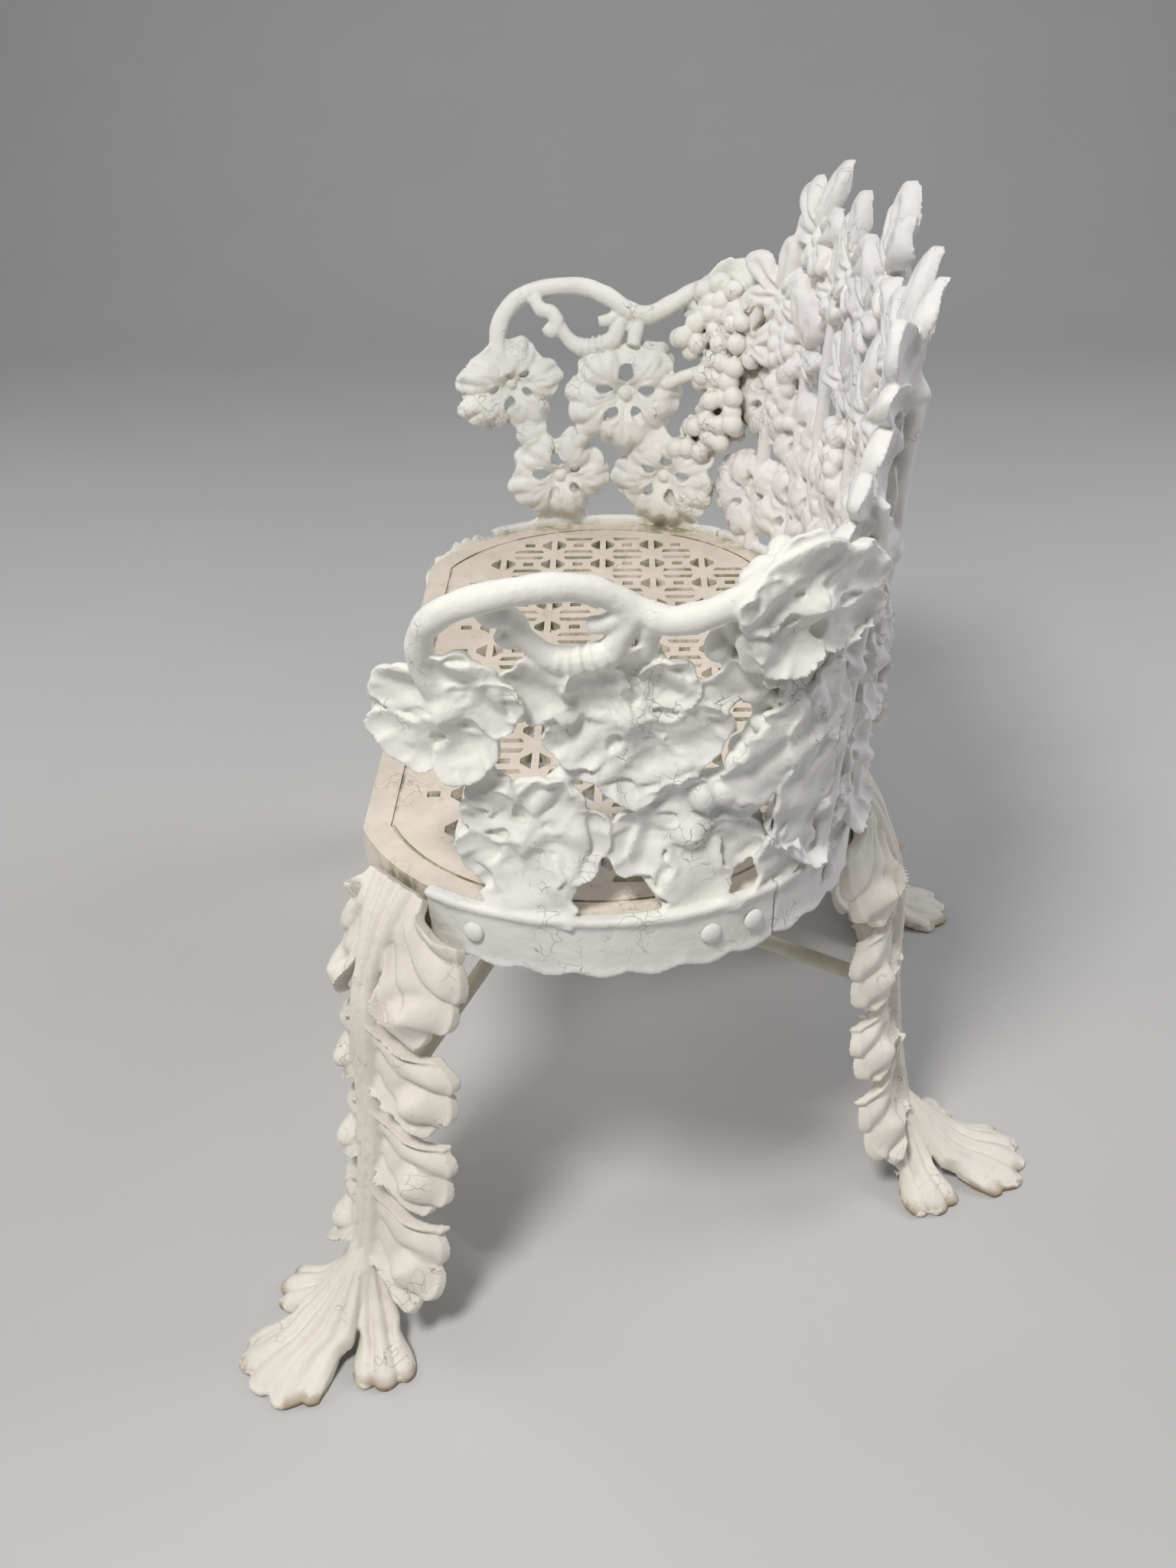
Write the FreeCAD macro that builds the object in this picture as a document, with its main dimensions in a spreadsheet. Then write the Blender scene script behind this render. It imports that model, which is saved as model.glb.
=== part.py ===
"""Cast iron garden bench: pierced seat, vine leaf arms and back, leaf legs, tie rods.

X runs along the bench, Y from the front to the back, Z up from the floor. Sizes are in millimetres.
"""
import FreeCAD
import Part
import math
import os
import Sketcher

from FreeCAD import Placement, Rotation, Vector

SIZES = {
    # Seat casting
    "seat_height": 407,
    "seat_length": 766,
    "end_radius": 195,
    "rear_bow": 15,
    "front_trim": 14,
    "plate_thickness": 9,
    "rim_drop": 27,
    "rim_thickness": 9,
    "groove_inset": 21,
    "groove_width": 3,
    "groove_depth": 2,
    # Pierced field of the seat
    "field_margin": 38,
    "lattice_pitch": 52.5,
    "slat_width": 9.9,
    "spine_bar": 6.3,
    "kite_length": 27.3,
    "kite_tip": 7.9,
    "kite_width": 9.5,
    "slot_length": 31.5,
    "slot_taper": 2.6,
    "window_length": 10.5,
    "window_width": 8.9,
    # Pads under the seat that carry the legs
    "pad_drop": 52,
    "pad_width": 58,
    "pad_depth": 48,
    # Aprons of the arms and the back
    "fit_gap": 0.3,
    "apron_thickness": 8,
    "apron_drop": 41,
    "apron_lip": 6,
    "bead_rise": 3,
    "bead_height": 7,
    "scallop_depth": 8,
    "arm_front_reach": 118,
    "seam_reach": 125,
    "seam_gap": 1,
    # Vine work
    "leaf_thickness": 8,
    "wall_lean": 0.05,
    "wall_flare": 16,
    "flare_height": 420,
    "corner_flare": 14,
    "arm_flat_height": 120,
    "arm_square_depth": 182,
    "arm_square_power": 3.5,
    "arm_lean": 22,
    "arm_height": 250,
    "rail_radius": 7.5,
    "stem_radius": 5.5,
    "stalk_radius": 4.6,
    "tendril_radius": 4,
    "grape_radius": 9,
    "lug_radius": 16,
    "lug_thickness": 9,
    # Legs
    "leg_half_width": 66,
    "leg_thickness": 9,
    "leg_sweep": 0.42,
    "leg_notch_width": 26,
    "leg_top_gap": 3,
    "shoulder_reach": 22,
    "shoulder_height": 372,
    "knee_reach": 42,
    "knee_height": 305,
    "shin_reach": 47,
    "shin_height": 200,
    "ankle_reach": 59,
    "ankle_height": 108,
    "instep_reach": 74,
    "instep_height": 58,
    "arch_reach": 102,
    "arch_height": 30,
    "toe_reach": 176,
    "toe_thickness": 7,
    "foot_back_reach": 62,
    "foot_half_width": 56,
    "spine_half_width": 8,
    "spine_rise": 5,
    "bracket_thickness": 9,
    "bracket_half_width": 25,
    "front_leg_angle": 46,
    "rear_leg_offset": 181,
    # Tie rods
    "rod_radius": 7,
    "rod_height": 197,
    "hub_radius": 24,
    "hub_height": 26,
    "hub_forward": 47,
    "socket_depth": 14,
    "boss_radius": 12,
    "boss_length": 26,
    # Fasteners
    "bolt_radius": 4,
    "bolt_head_radius": 8,
    "bolt_head_height": 4.5,
    "bolt_drop": 18,
    "hole_clearance": 0.5,
    "nut_radius": 7.5,
    "nut_height": 6.5,
    "thread_clearance": 0.2,
    "thread_show": 3,
    "leg_bolt_spacing": 30,
    "leg_bolt_inset": 24,
    "leg_bolt_grip": 28,
    "washer_radius": 9,
    "washer_thickness": 2,
}

# Where the arm aprons are bolted, from the middle of the seat towards the back
ARM_BOLT_PLACES = (-84, 78, 108)
# Where the back apron is bolted, along the rear edge from its middle
BACK_BOLT_PLACES = (52, 104, 296)

# Lobes of a vine leaf: direction in degrees from its stalk side, and length as a share of its radius
LEAF_LOBES = ((-52, 0.74), (-8, 0.9), (40, 0.96), (90, 1.0), (140, 0.96), (188, 0.9), (232, 0.74))
LEAF_NOTCHES = ((-90, 0.4), (-30, 0.62), (15, 0.68), (65, 0.7), (115, 0.7), (165, 0.68), (210, 0.62))

# Arm leaves: distance towards the front, height over the seat, radius, turn in degrees, step outwards
ARM_LEAVES = ((95, 162, 59, 200, 9), (-26, 158, 66, 180, -9), (47, 65, 60, 188, 2), (-68, 64, 57, 172, -4))
# Arm rail: distance towards the front, height over the seat, step inwards
ARM_RAIL = ((100, 168, -4), (104, 204, -8), (97, 233, -10), (72, 252, -10), (25, 260, -2), (-5, 253, 7),
            (-28, 238, 9), (-52, 232, 2), (-78, 244, -4), (-98, 254, 2), (-112, 260, 12))
ARM_BRANCH = ((-46, 232, 0), (-38, 212, 0), (-27, 164, 0))
ARM_TENDRIL = ((64, 252, 0), (54, 226, 0), (34, 214, 0), (12, 204, 0), (-8, 210, 0), (-24, 234, 0))
ARM_STALKS = (((95, 158, 0), (72, 110, 0), (47, 58, 0)), ((-26, 158, 0), (-52, 108, 0), (-70, 58, 0)),
              ((47, 58, 0), (20, 112, 0), (-26, 158, 0)))
# Stalks from the arm's apron up into its lower leaves
ARM_FEET = (((47, 3, 0), (47, 28, 0), (47, 66, 0)), ((-68, 3, 0), (-68, 28, 0), (-68, 66, 0)))
ARM_BUNCH_STEM = ((-90, 250, 10), (-94, 214, 0), (-106, 172, 0), (-107, 134, 0), (-88, 94, 0))
ARM_GRAPES = ((-90, 242), (-86, 226), (-99, 222), (-92, 208), (-105, 203), (-97, 192), (-110, 186),
              (-100, 175), (-113, 168), (-103, 158), (-114, 150), (-102, 141), (-111, 132), (-98, 125),
              (-107, 115), (-94, 108), (-85, 98))

# Back leaves: distance along the rear edge, height over the seat, radius, turn in degrees, step outwards
BACK_MIDDLE_LEAVES = ((0, 362, 59, 0, 0), (0, 182, 58, 180, -3), (0, 62, 58, 184, 2))
BACK_SIDE_LEAVES = ((131, 332, 56, -6, 0), (246, 342, 60, -14, 0), (66, 288, 56, 204, 4),
                    (190, 282, 56, 160, -4), (296, 284, 54, -24, 4), (333, 250, 48, 146, 0),
                    (124, 220, 56, 192, 0), (250, 220, 56, 188, -2), (304, 160, 52, 160, 3),
                    (64, 110, 53, 164, 1), (182, 122, 54, 190, 3), (118, 58, 54, 188, -3),
                    (238, 64, 56, 174, 0), (308, 62, 50, 168, -3))
BACK_MIDDLE_STEM = ((2, -4, 0), (5, 58, 1), (-4, 130, 0), (3, 240, 1), (1, 356, 0))
BACK_FEET = (((118, -4, 0), (120, 30, 0), (116, 66, 0)), ((236, -4, 0), (238, 30, 0), (234, 70, 0)))
BACK_STEM = ((6, 250, 0), (40, 236, 0), (90, 262, 0), (150, 292, 0), (205, 262, 0), (255, 232, 0),
             (300, 246, 0), (333, 250, 0))
BACK_STALKS = (((54, 116, 0), (50, 172, 0), (40, 236, 0)), ((182, 120, 0), (210, 190, 0), (205, 262, 0)),
               ((131, 336, 0), (144, 316, 0), (150, 292, 0)), ((246, 346, 0), (254, 290, 0), (255, 232, 0)),
               ((314, -4, 0), (312, 60, 0), (307, 112, 0), (300, 166, 0), (296, 206, 0), (302, 244, 0)))
BACK_BUNCH_STEMS = (((66, 290, 0), (66, 226, 0), (67, 150, 0), (72, 122, 0)),
                    ((190, 286, 0), (197, 228, 0), (196, 156, 0), (190, 130, 0)))
BACK_GRAPES = ((56, 224), (66, 218), (77, 226), (58, 202), (73, 204), (64, 186), (78, 188), (68, 170),
               (60, 156), (72, 154), (187, 230), (196, 222), (208, 230), (188, 208), (203, 206),
               (194, 192), (206, 188), (199, 174), (190, 160), (202, 158))
# The arm rail is bolted to the back here: distance along the rear edge and height over the seat
JUNCTION = (333, 250)

STEP = 1.0

document = FreeCAD.newDocument("garden_bench")
sheet = document.addObject("Spreadsheet::Sheet", "Sizes")
for row, (alias, number) in enumerate(SIZES.items(), start=1):
    sheet.set("A%d" % row, alias)
    sheet.set("B%d" % row, str(number))
    sheet.setAlias("B%d" % row, alias)
document.recompute()


def size(name):
    return float(sheet.get(name))


end_radius = size("end_radius")
end_centre = size("seat_length") / 2 - end_radius
rear_reach = end_radius + size("rear_bow")
rear_radius = (end_centre ** 2 + rear_reach ** 2 - end_radius ** 2) / (2 * size("rear_bow"))
rear_centre = rear_reach - rear_radius
front_reach = end_radius - size("front_trim")
rear_turn = math.atan2(end_centre, -rear_centre)
rear_half_length = rear_radius * rear_turn
seat_height = size("seat_height")
fit_gap = size("fit_gap")
apron_face = fit_gap + size("apron_thickness")
leg_face = apron_face + fit_gap


def outline_corners(offset):
    """Corner of the front edge and the point where the rear bow turns into the end."""
    ends = end_radius + offset
    front = -(front_reach + offset)
    corner = Vector(end_centre + math.sqrt(ends ** 2 - front ** 2), front, 0)
    join = Vector(end_centre + ends * math.sin(rear_turn), ends * math.cos(rear_turn), 0)
    return corner, join


def opposite(point):
    return Vector(-point.x, point.y, point.z)


def outline_face(offset, height):
    """Plan of the seat, grown by an offset, as a flat face."""
    corner, join = outline_corners(offset)
    end = Vector(end_centre + end_radius + offset, 0, 0)
    rear = Vector(0, rear_reach + offset, 0)
    curves = (
        Part.LineSegment(opposite(corner), corner),
        Part.Arc(corner, end, join),
        Part.Arc(join, rear, opposite(join)),
        Part.Arc(opposite(join), opposite(end), opposite(corner)),
    )
    face = Part.Face(Part.Wire([curve.toShape() for curve in curves]))
    face.translate(Vector(0, 0, height))
    return face


def ring(inner, outer, bottom, top):
    """Band that follows the seat's edge between two offsets."""
    rise = Vector(0, 0, top - bottom)
    return outline_face(outer, bottom).extrude(rise).cut(outline_face(inner, bottom).extrude(rise))


def edge_frame(along):
    """Point on the seat's edge and the direction outwards, from the middle of the rear edge."""
    reach = abs(along)
    if reach <= rear_half_length:
        angle = reach / rear_radius
        point = Vector(rear_radius * math.sin(angle), rear_centre + rear_radius * math.cos(angle), 0)
    else:
        angle = rear_turn + (reach - rear_half_length) / end_radius
        point = Vector(end_centre + end_radius * math.sin(angle), end_radius * math.cos(angle), 0)
    outward = Vector(math.sin(angle), math.cos(angle), 0)
    if along < 0:
        return opposite(point), opposite(outward)
    return point, outward


def wall_offset(rise):
    """How far the middle of the vine work stands outside the seat's edge."""
    flare = size("wall_flare") * (max(rise, 0) / size("flare_height")) ** 4
    return fit_gap + size("apron_thickness") / 2 + size("wall_lean") * rise + flare


def back_surface(along, rise):
    point, outward = edge_frame(along)
    corner_share = min(max((abs(along) - rear_half_length) / size("seam_reach"), 0), 1)
    corner = size("corner_flare") * corner_share * (rise / size("flare_height"))
    return point + outward * (wall_offset(rise) + corner) + Vector(0, 0, seat_height + rise)


def arm_surface(forward, rise):
    """The arm follows the bowed end at its foot, opens to a squarer curve above and leans in between."""
    radius = end_radius + wall_offset(min(rise, size("arm_flat_height")))
    bowed = math.sqrt(max(radius ** 2 - forward ** 2, 0))
    power = size("arm_square_power")
    square = radius * max(1 - (abs(forward) / size("arm_square_depth")) ** power, 0) ** (1 / power)
    share = min(max(rise / size("arm_flat_height"), 0), 1)
    share = share * share * (3 - 2 * share)
    height_share = min(max(rise / size("arm_height"), 0), 1)
    lean = size("arm_lean") * math.sin(math.pi * height_share)
    return Vector(end_centre + bowed + (square - bowed) * share - lean, -forward, seat_height + rise)


def surface_place(surface, along, rise, turn=0, lift=0):
    """Frame on a wall: Y up it, Z outwards."""
    side = surface(along + STEP, rise) - surface(along - STEP, rise)
    up = surface(along, rise + STEP) - surface(along, rise - STEP)
    outward = up.cross(side).normalize()
    frame = Rotation(side, up, outward, "ZYX")
    roll = Rotation(Vector(0, 0, 1), turn)
    return Placement(surface(along, rise) + outward * lift, frame * roll)


def polar(direction, length):
    angle = math.radians(direction)
    return Vector(length * math.cos(angle), length * math.sin(angle), 0)


def leaf(radius):
    """Flat vine leaf with rounded lobes, its middle at the origin."""
    notches = [polar(direction, share * radius) for direction, share in LEAF_NOTCHES]
    tips = [polar(direction, share * radius) for direction, share in LEAF_LOBES]
    followers = notches[1:] + notches[:1]
    lobes = [Part.Arc(first, tip, last).toShape() for first, tip, last in zip(notches, tips, followers)]
    thickness = size("leaf_thickness")
    face = Part.Face(Part.Wire(lobes))
    face.translate(Vector(0, 0, -thickness / 2))
    return face.extrude(Vector(0, 0, thickness))


def placed(shape, place):
    copy = shape.copy()
    copy.Placement = place
    return copy


def wall_leaves(surface, table):
    leaves = []
    for along, rise, radius, turn, lift in table:
        leaves.append(placed(leaf(radius), surface_place(surface, along, rise, turn, lift)))
    return leaves


def wall_points(surface, table):
    points = []
    for along, rise, inset in table:
        points.append(surface_place(surface, along, rise, 0, -inset).Base)
    return points


def bent_edge(start, heading, end):
    """Arc that leaves its start along a heading and reaches its end."""
    chord = end - start
    length = chord.Length
    chord.normalize()
    side = heading - chord * heading.dot(chord)
    if side.Length < 0.01:
        return Part.LineSegment(start, end).toShape()
    angle = math.atan2(side.Length, heading.dot(chord))
    side.normalize()
    middle = (start + end) * 0.5 + side * (length / 2 * math.tan(angle / 2))
    return Part.Arc(start, middle, end).toShape()


def tube(points, radius):
    """Round bar through points, as arcs that run smoothly into each other."""
    headings = [points[1] - points[0]]
    for before, after in zip(points[:-2], points[2:]):
        headings.append(after - before)
    headings.append(points[-1] - points[-2])
    for heading in headings:
        heading.normalize()
    edges = []
    for start, end, leave, arrive in zip(points[:-1], points[1:], headings[:-1], headings[1:]):
        chord = end - start
        turn = 2 * (1 - leave.dot(arrive))
        both = chord.dot(leave + arrive)
        reach = chord.dot(chord) / (both + math.sqrt(both ** 2 + turn * chord.dot(chord)))
        joint = (start + leave * reach + end - arrive * reach) * 0.5
        edges.append(bent_edge(start, leave, joint))
        edges.append(bent_edge(end, arrive * -1, joint))
    path = Part.Wire(Part.__sortEdges__(edges))
    section = Part.Wire([Part.Circle(points[0], headings[0], radius).toShape()])
    return path.makePipeShell([section], True, True)


def ball(radius):
    """Round grape in two halves with a small flat at each pole, so that no face closes on itself."""
    half_turn = 180
    flat_from = 75
    half = Part.makeSphere(radius, Vector(), Vector(0, 0, 1), -flat_from, flat_from, half_turn)
    return half.fuse(placed(half, Placement(Vector(), Rotation(Vector(0, 0, 1), half_turn))))


def grapes(surface, table):
    balls = []
    for number, (along, rise) in enumerate(table):
        lift = size("grape_radius") / 3 * (-1) ** number
        eighth_turn = 45
        place = surface_place(surface, along, rise, eighth_turn, lift)
        balls.append(placed(ball(size("grape_radius")), place))
    return balls


def scalloped(first, last, count, normal):
    """Prism over an apron's height with a scalloped lower edge, across the first or second axis."""
    top = seat_height + size("apron_lip")
    low = seat_height - size("apron_drop")
    far = end_centre + 2 * end_radius

    def at(along, height):
        if normal.x:
            return Vector(0, along, height)
        return Vector(along, 0, height)

    pitch = (last - first) / count
    edges = [Part.LineSegment(at(first, low), at(first, top)).toShape()]
    edges.append(Part.LineSegment(at(first, top), at(last, top)).toShape())
    edges.append(Part.LineSegment(at(last, top), at(last, low)).toShape())
    for number in range(count):
        start = first + number * pitch
        dip = at(start + pitch / 2, low - size("scallop_depth"))
        edges.append(Part.Arc(at(start, low), dip, at(start + pitch, low)).toShape())
    face = Part.Face(Part.Wire(Part.__sortEdges__(edges)))
    return face.extrude(normal * far)


def apron(window):
    """Part of the band outside the seat's rim that lies in a window, with a bead along its top."""
    lowest = seat_height - size("apron_drop") - size("scallop_depth")
    top = seat_height + size("apron_lip")
    band = ring(fit_gap, apron_face, lowest, top).common(window)
    bead = ring(fit_gap, apron_face + size("bead_rise"), top - size("bead_height"), top).common(window)
    return band.fuse(bead)


def single(shape, name):
    """The one solid that fused pieces make, with no hollow left inside it."""
    if len(shape.Solids) != 1:
        raise RuntimeError("%s falls into %d pieces" % (name, len(shape.Solids)))
    return Part.makeSolid(shape.Solids[0].OuterShell)


def apron_bolt_places(alongs):
    """Outer faces of the aprons where a bolt goes in, with Z outwards."""
    places = []
    for along in alongs:
        point, outward = edge_frame(along)
        seat_point = point + outward * apron_face + Vector(0, 0, seat_height - size("bolt_drop"))
        places.append(Placement(seat_point, Rotation(Vector(0, 0, 1), outward)))
    return places


def along_of(reach):
    """Distance along the seat's edge of the place on the end that lies this far towards the back."""
    angle = math.acos(reach / end_radius)
    return rear_half_length + (angle - rear_turn) * end_radius


arm_left_bolts = apron_bolt_places([along_of(reach) for reach in ARM_BOLT_PLACES])
arm_right_bolts = apron_bolt_places([-along_of(reach) for reach in ARM_BOLT_PLACES])
back_bolt_places = apron_bolt_places([sign * along for along in BACK_BOLT_PLACES for sign in (1, -1)])
junction_left = surface_place(back_surface, JUNCTION[0], JUNCTION[1])
junction_right = surface_place(back_surface, -JUNCTION[0], JUNCTION[1])


def bored(places, radius, depth):
    """Holes that run inwards from the places given, and a little outwards."""
    holes = []
    for place in places:
        hole = Part.makeCylinder(radius, 2 * depth, Vector(0, 0, -depth))
        holes.append(placed(hole, place))
    return holes


def mirrored(shape):
    return shape.mirror(Vector(0, 0, 0), Vector(1, 0, 0))


hole_radius = size("bolt_radius") + size("hole_clearance")
apron_stack = apron_face + size("rim_thickness")

# Arm on the sitter's left; the other one is its mirror image
arm_window = scalloped(-size("arm_front_reach"), size("seam_reach") - size("seam_gap"), 6, Vector(1, 0, 0))
arm_pieces = wall_leaves(arm_surface, ARM_LEAVES)
lug_place = junction_left.multiply(Placement(
    Vector(0, 0, -size("leaf_thickness") / 2 - fit_gap - size("lug_thickness")), Rotation()))
rail_points = wall_points(arm_surface, ARM_RAIL)
lug_middle = lug_place.multVec(Vector(0, 0, size("lug_thickness") / 2))
rail_points.append(lug_middle + (rail_points[-1] - lug_middle).normalize() * (0.75 * size("lug_radius")))
arm_pieces.append(tube(rail_points, size("rail_radius")))
arm_pieces.append(tube(wall_points(arm_surface, ARM_BRANCH), size("stem_radius")))
arm_pieces.append(tube(wall_points(arm_surface, ARM_TENDRIL), size("tendril_radius")))
arm_pieces.append(tube(wall_points(arm_surface, ARM_BUNCH_STEM), size("stalk_radius")))
for stalk in ARM_STALKS + ARM_FEET:
    arm_pieces.append(tube(wall_points(arm_surface, stalk), size("stalk_radius")))
arm_pieces += grapes(arm_surface, ARM_GRAPES)
arm_pieces.append(placed(Part.makeCylinder(size("lug_radius"), size("lug_thickness")), lug_place))
arm_shape = apron(arm_window).multiFuse(arm_pieces)
back_of_lug = lug_place.multiply(Placement(Vector(0, 0, size("lug_thickness")), Rotation()))
rail_clearance = placed(Part.makeCylinder(2 * size("lug_radius"), size("lug_thickness")), back_of_lug)
arm_holes = bored(arm_left_bolts, hole_radius, apron_stack)
arm_holes += bored([junction_left], hole_radius, 4 * size("lug_thickness"))
nut_seat = lug_place.multiply(Placement(Vector(0, 0, -4 * size("nut_height")), Rotation()))
arm_holes.append(placed(Part.makeCylinder(size("washer_radius"), 4 * size("nut_height")), nut_seat))
arm_shape = single(arm_shape.cut(Part.makeCompound(arm_holes + [rail_clearance])), "arm")

# Back: the vine work of one side, its mirror image and the middle leaves over one apron
seam_window = scalloped(-2 * end_radius - end_centre, 2 * end_radius + end_centre, 24, Vector(0, 1, 0))
seam_keep = Part.makeBox(
    4 * end_radius + 2 * end_centre, 2 * end_radius, 4 * seat_height,
    Vector(-2 * end_radius - end_centre, size("seam_reach"), -seat_height))
side_pieces = wall_leaves(back_surface, BACK_SIDE_LEAVES)
side_pieces.append(tube(wall_points(back_surface, BACK_STEM), size("stem_radius")))
for stalk in BACK_STALKS + BACK_BUNCH_STEMS + BACK_FEET:
    side_pieces.append(tube(wall_points(back_surface, stalk), size("stalk_radius")))
side_pieces += grapes(back_surface, BACK_GRAPES)
middle_pieces = wall_leaves(back_surface, BACK_MIDDLE_LEAVES)
middle_pieces.append(tube(wall_points(back_surface, BACK_MIDDLE_STEM), size("rail_radius")))
back_apron = apron(seam_window).common(seam_keep)
back_pieces = side_pieces + [mirrored(piece) for piece in side_pieces] + middle_pieces
back_shape = back_apron.multiFuse(back_pieces)
back_holes = bored(back_bolt_places, hole_radius, apron_stack)
back_holes += bored([junction_left, junction_right], hole_radius, 2 * size("leaf_thickness"))
back_shape = single(back_shape.cut(Part.makeCompound(back_holes)), "back")


def flat(reach, height):
    return Vector(reach, 0, height)


def smooth_curve(points):
    curve = Part.BSplineCurve()
    curve.interpolate(points)
    return curve


def leg_curve_points():
    """Front of the leg in its own upright plane, from the seat down to the arch of the foot."""
    return [
        flat(size("leg_top_gap") + size("leg_thickness"), seat_height - size("leg_top_gap")),
        flat(size("shoulder_reach"), size("shoulder_height")),
        flat(size("knee_reach"), size("knee_height")),
        flat(size("shin_reach"), size("shin_height")),
        flat(size("ankle_reach"), size("ankle_height")),
        flat(size("instep_reach"), size("instep_height")),
        flat(size("arch_reach"), size("arch_height")),
    ]


def shifted_curve(points, inwards):
    """The same curve moved towards the back of the leg."""
    curve = smooth_curve(points)
    moved = []
    for point in points:
        heading = curve.tangent(curve.parameter(point))[0]
        moved.append(point + Vector(heading.z, 0, -heading.x) * inwards)
    return moved


def leg_section(front_shift, back_shift):
    """Upright strip between two curves that follow the front of the leg."""
    front = shifted_curve(leg_curve_points(), front_shift)
    back = shifted_curve(leg_curve_points(), back_shift)
    edges = [
        smooth_curve(front).toShape(),
        Part.LineSegment(front[-1], back[-1]).toShape(),
        smooth_curve(back).toShape(),
        Part.LineSegment(back[0], front[0]).toShape(),
    ]
    return Part.Face(Part.Wire(Part.__sortEdges__(edges)))


def across(width, height):
    return Vector(0, width, height)


def leg_lobes():
    """Front view of the leg: four drooping lobes on each side."""
    count = 4
    top = seat_height
    low = size("arch_height") / 2
    step = (top - low) / count
    notch = size("leg_notch_width")
    tip = size("leg_half_width")
    droop = 0.58
    edges = [Part.LineSegment(across(-notch, top), across(notch, top)).toShape()]
    edges.append(Part.LineSegment(across(-notch, low), across(notch, low)).toShape())
    for number in range(count):
        start = top - number * step
        for sign in (1, -1):
            edges.append(Part.Arc(
                across(sign * notch, start),
                across(sign * tip, start - droop * step),
                across(sign * notch, start - step)).toShape())
    face = Part.Face(Part.Wire(Part.__sortEdges__(edges)))
    depth = size("toe_reach")
    face.translate(Vector(-depth, 0, 0))
    return face.extrude(Vector(3 * depth, 0, 0))


def foot():
    """Lobed leaf foot, flat underneath."""
    toe = size("toe_reach")
    back = size("foot_back_reach")
    arch = flat(size("arch_reach"), size("arch_height"))
    instep = flat(size("instep_reach"), size("instep_height"))
    toe_top = flat(toe, size("toe_thickness"))
    slope = flat((toe + arch.x) / 2, (toe_top.z + arch.z) / 2 - size("toe_thickness") / 2)
    edges = [
        smooth_curve([instep, arch, slope, toe_top]).toShape(),
        Part.LineSegment(toe_top, flat(toe, 0)).toShape(),
        Part.LineSegment(flat(toe, 0), flat(back, 0)).toShape(),
        Part.LineSegment(flat(back, 0), flat(back, instep.z)).toShape(),
        Part.LineSegment(flat(back, instep.z), instep).toShape(),
    ]
    side = Part.Face(Part.Wire(Part.__sortEdges__(edges)))
    half = size("foot_half_width")
    side.translate(Vector(0, -2 * half, 0))
    block = side.extrude(Vector(0, 4 * half, 0))
    heel = size("leg_notch_width")
    waist = (toe + 2 * arch.x) / 3
    notch = half * 0.7
    lobe_reach = (back + waist) / 2
    tread = [Part.LineSegment(Vector(back, -heel, 0), Vector(back, heel, 0)).toShape()]
    tread.append(Part.Arc(Vector(waist, -notch, 0), Vector(toe, 0, 0), Vector(waist, notch, 0)).toShape())
    for sign in (1, -1):
        tread.append(Part.Arc(
            Vector(back, sign * heel, 0),
            Vector(lobe_reach, sign * half, 0),
            Vector(waist, sign * notch, 0)).toShape())
    plan = Part.Face(Part.Wire(Part.__sortEdges__(tread)))
    return block.common(plan.extrude(Vector(0, 0, seat_height)))


def bracket():
    """Flat tab that reaches under the seat, with a web down the back of the leg."""
    top = seat_height - size("pad_drop") - fit_gap
    thickness = size("bracket_thickness")
    low = top - thickness
    half = size("bracket_half_width")
    rib = size("spine_half_width")
    inner = -(size("leg_bolt_inset") + size("washer_radius") + size("leg_thickness"))
    outer = size("shoulder_reach") + size("spine_rise")
    corners = [
        Vector(inner, -half, low), Vector(0, -half, low), Vector(outer, -rib, low),
        Vector(outer, rib, low), Vector(0, half, low), Vector(inner, half, low), Vector(inner, -half, low),
    ]
    tab = Part.Face(Part.makePolygon(corners)).extrude(Vector(0, 0, thickness))
    knee_low = size("knee_height") - 2 * size("pad_drop") / 3
    knee = flat(size("knee_reach") - size("leg_thickness") / 2, knee_low)
    web_corners = [flat(0, top), flat(outer, top), knee, flat(0, top)]
    web = Part.Face(Part.makePolygon(web_corners))
    web.translate(Vector(0, -rib / 2, 0))
    return tab.fuse(web.extrude(Vector(0, rib, 0)))


def leg():
    """Leg in its own frame: X outwards from the apron, Z up from the floor."""
    half = 1.5 * size("leg_half_width")
    leaf_section = leg_section(0, size("leg_thickness"))
    back_step = half * size("leg_sweep")
    wings = leaf_section.extrude(Vector(-back_step, half, 0))
    wings = wings.fuse(leaf_section.extrude(Vector(-back_step, -half, 0)))
    body = wings.common(leg_lobes())
    rib = size("spine_half_width")
    spine_section = leg_section(-size("spine_rise"), size("leg_thickness"))
    spine_section.translate(Vector(0, -rib, 0))
    spine = spine_section.extrude(Vector(0, 2 * rib, 0))
    floor = Part.makeBox(4 * size("toe_reach"), 4 * half, size("toe_reach"),
                         Vector(-2 * size("toe_reach"), -2 * half, -size("toe_reach")))
    return body.multiFuse([spine, foot(), bracket()]).cut(floor)


def edge_place(along, offset, height):
    """Frame on the seat's edge: X outwards, Z up."""
    point, outward = edge_frame(along)
    turn = math.degrees(math.atan2(outward.y, outward.x))
    return Placement(point + outward * offset + Vector(0, 0, height), Rotation(Vector(0, 0, 1), turn))


front_leg_reach = -end_radius * math.sin(math.radians(size("front_leg_angle")))
front_leg_place = edge_place(along_of(front_leg_reach), leg_face, 0)
rear_leg_along = rear_radius * math.asin(size("rear_leg_offset") / rear_radius)
rear_leg_place = edge_place(rear_leg_along, leg_face, 0)
hub_place = Vector(0, -size("hub_forward"), size("rod_height"))
# Space that the seat and its aprons fill beside the tops of the legs
seat_space = outline_face(leg_face, seat_height - size("pad_drop"))
seat_space = seat_space.extrude(Vector(0, 0, 2 * size("pad_drop")))


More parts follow.
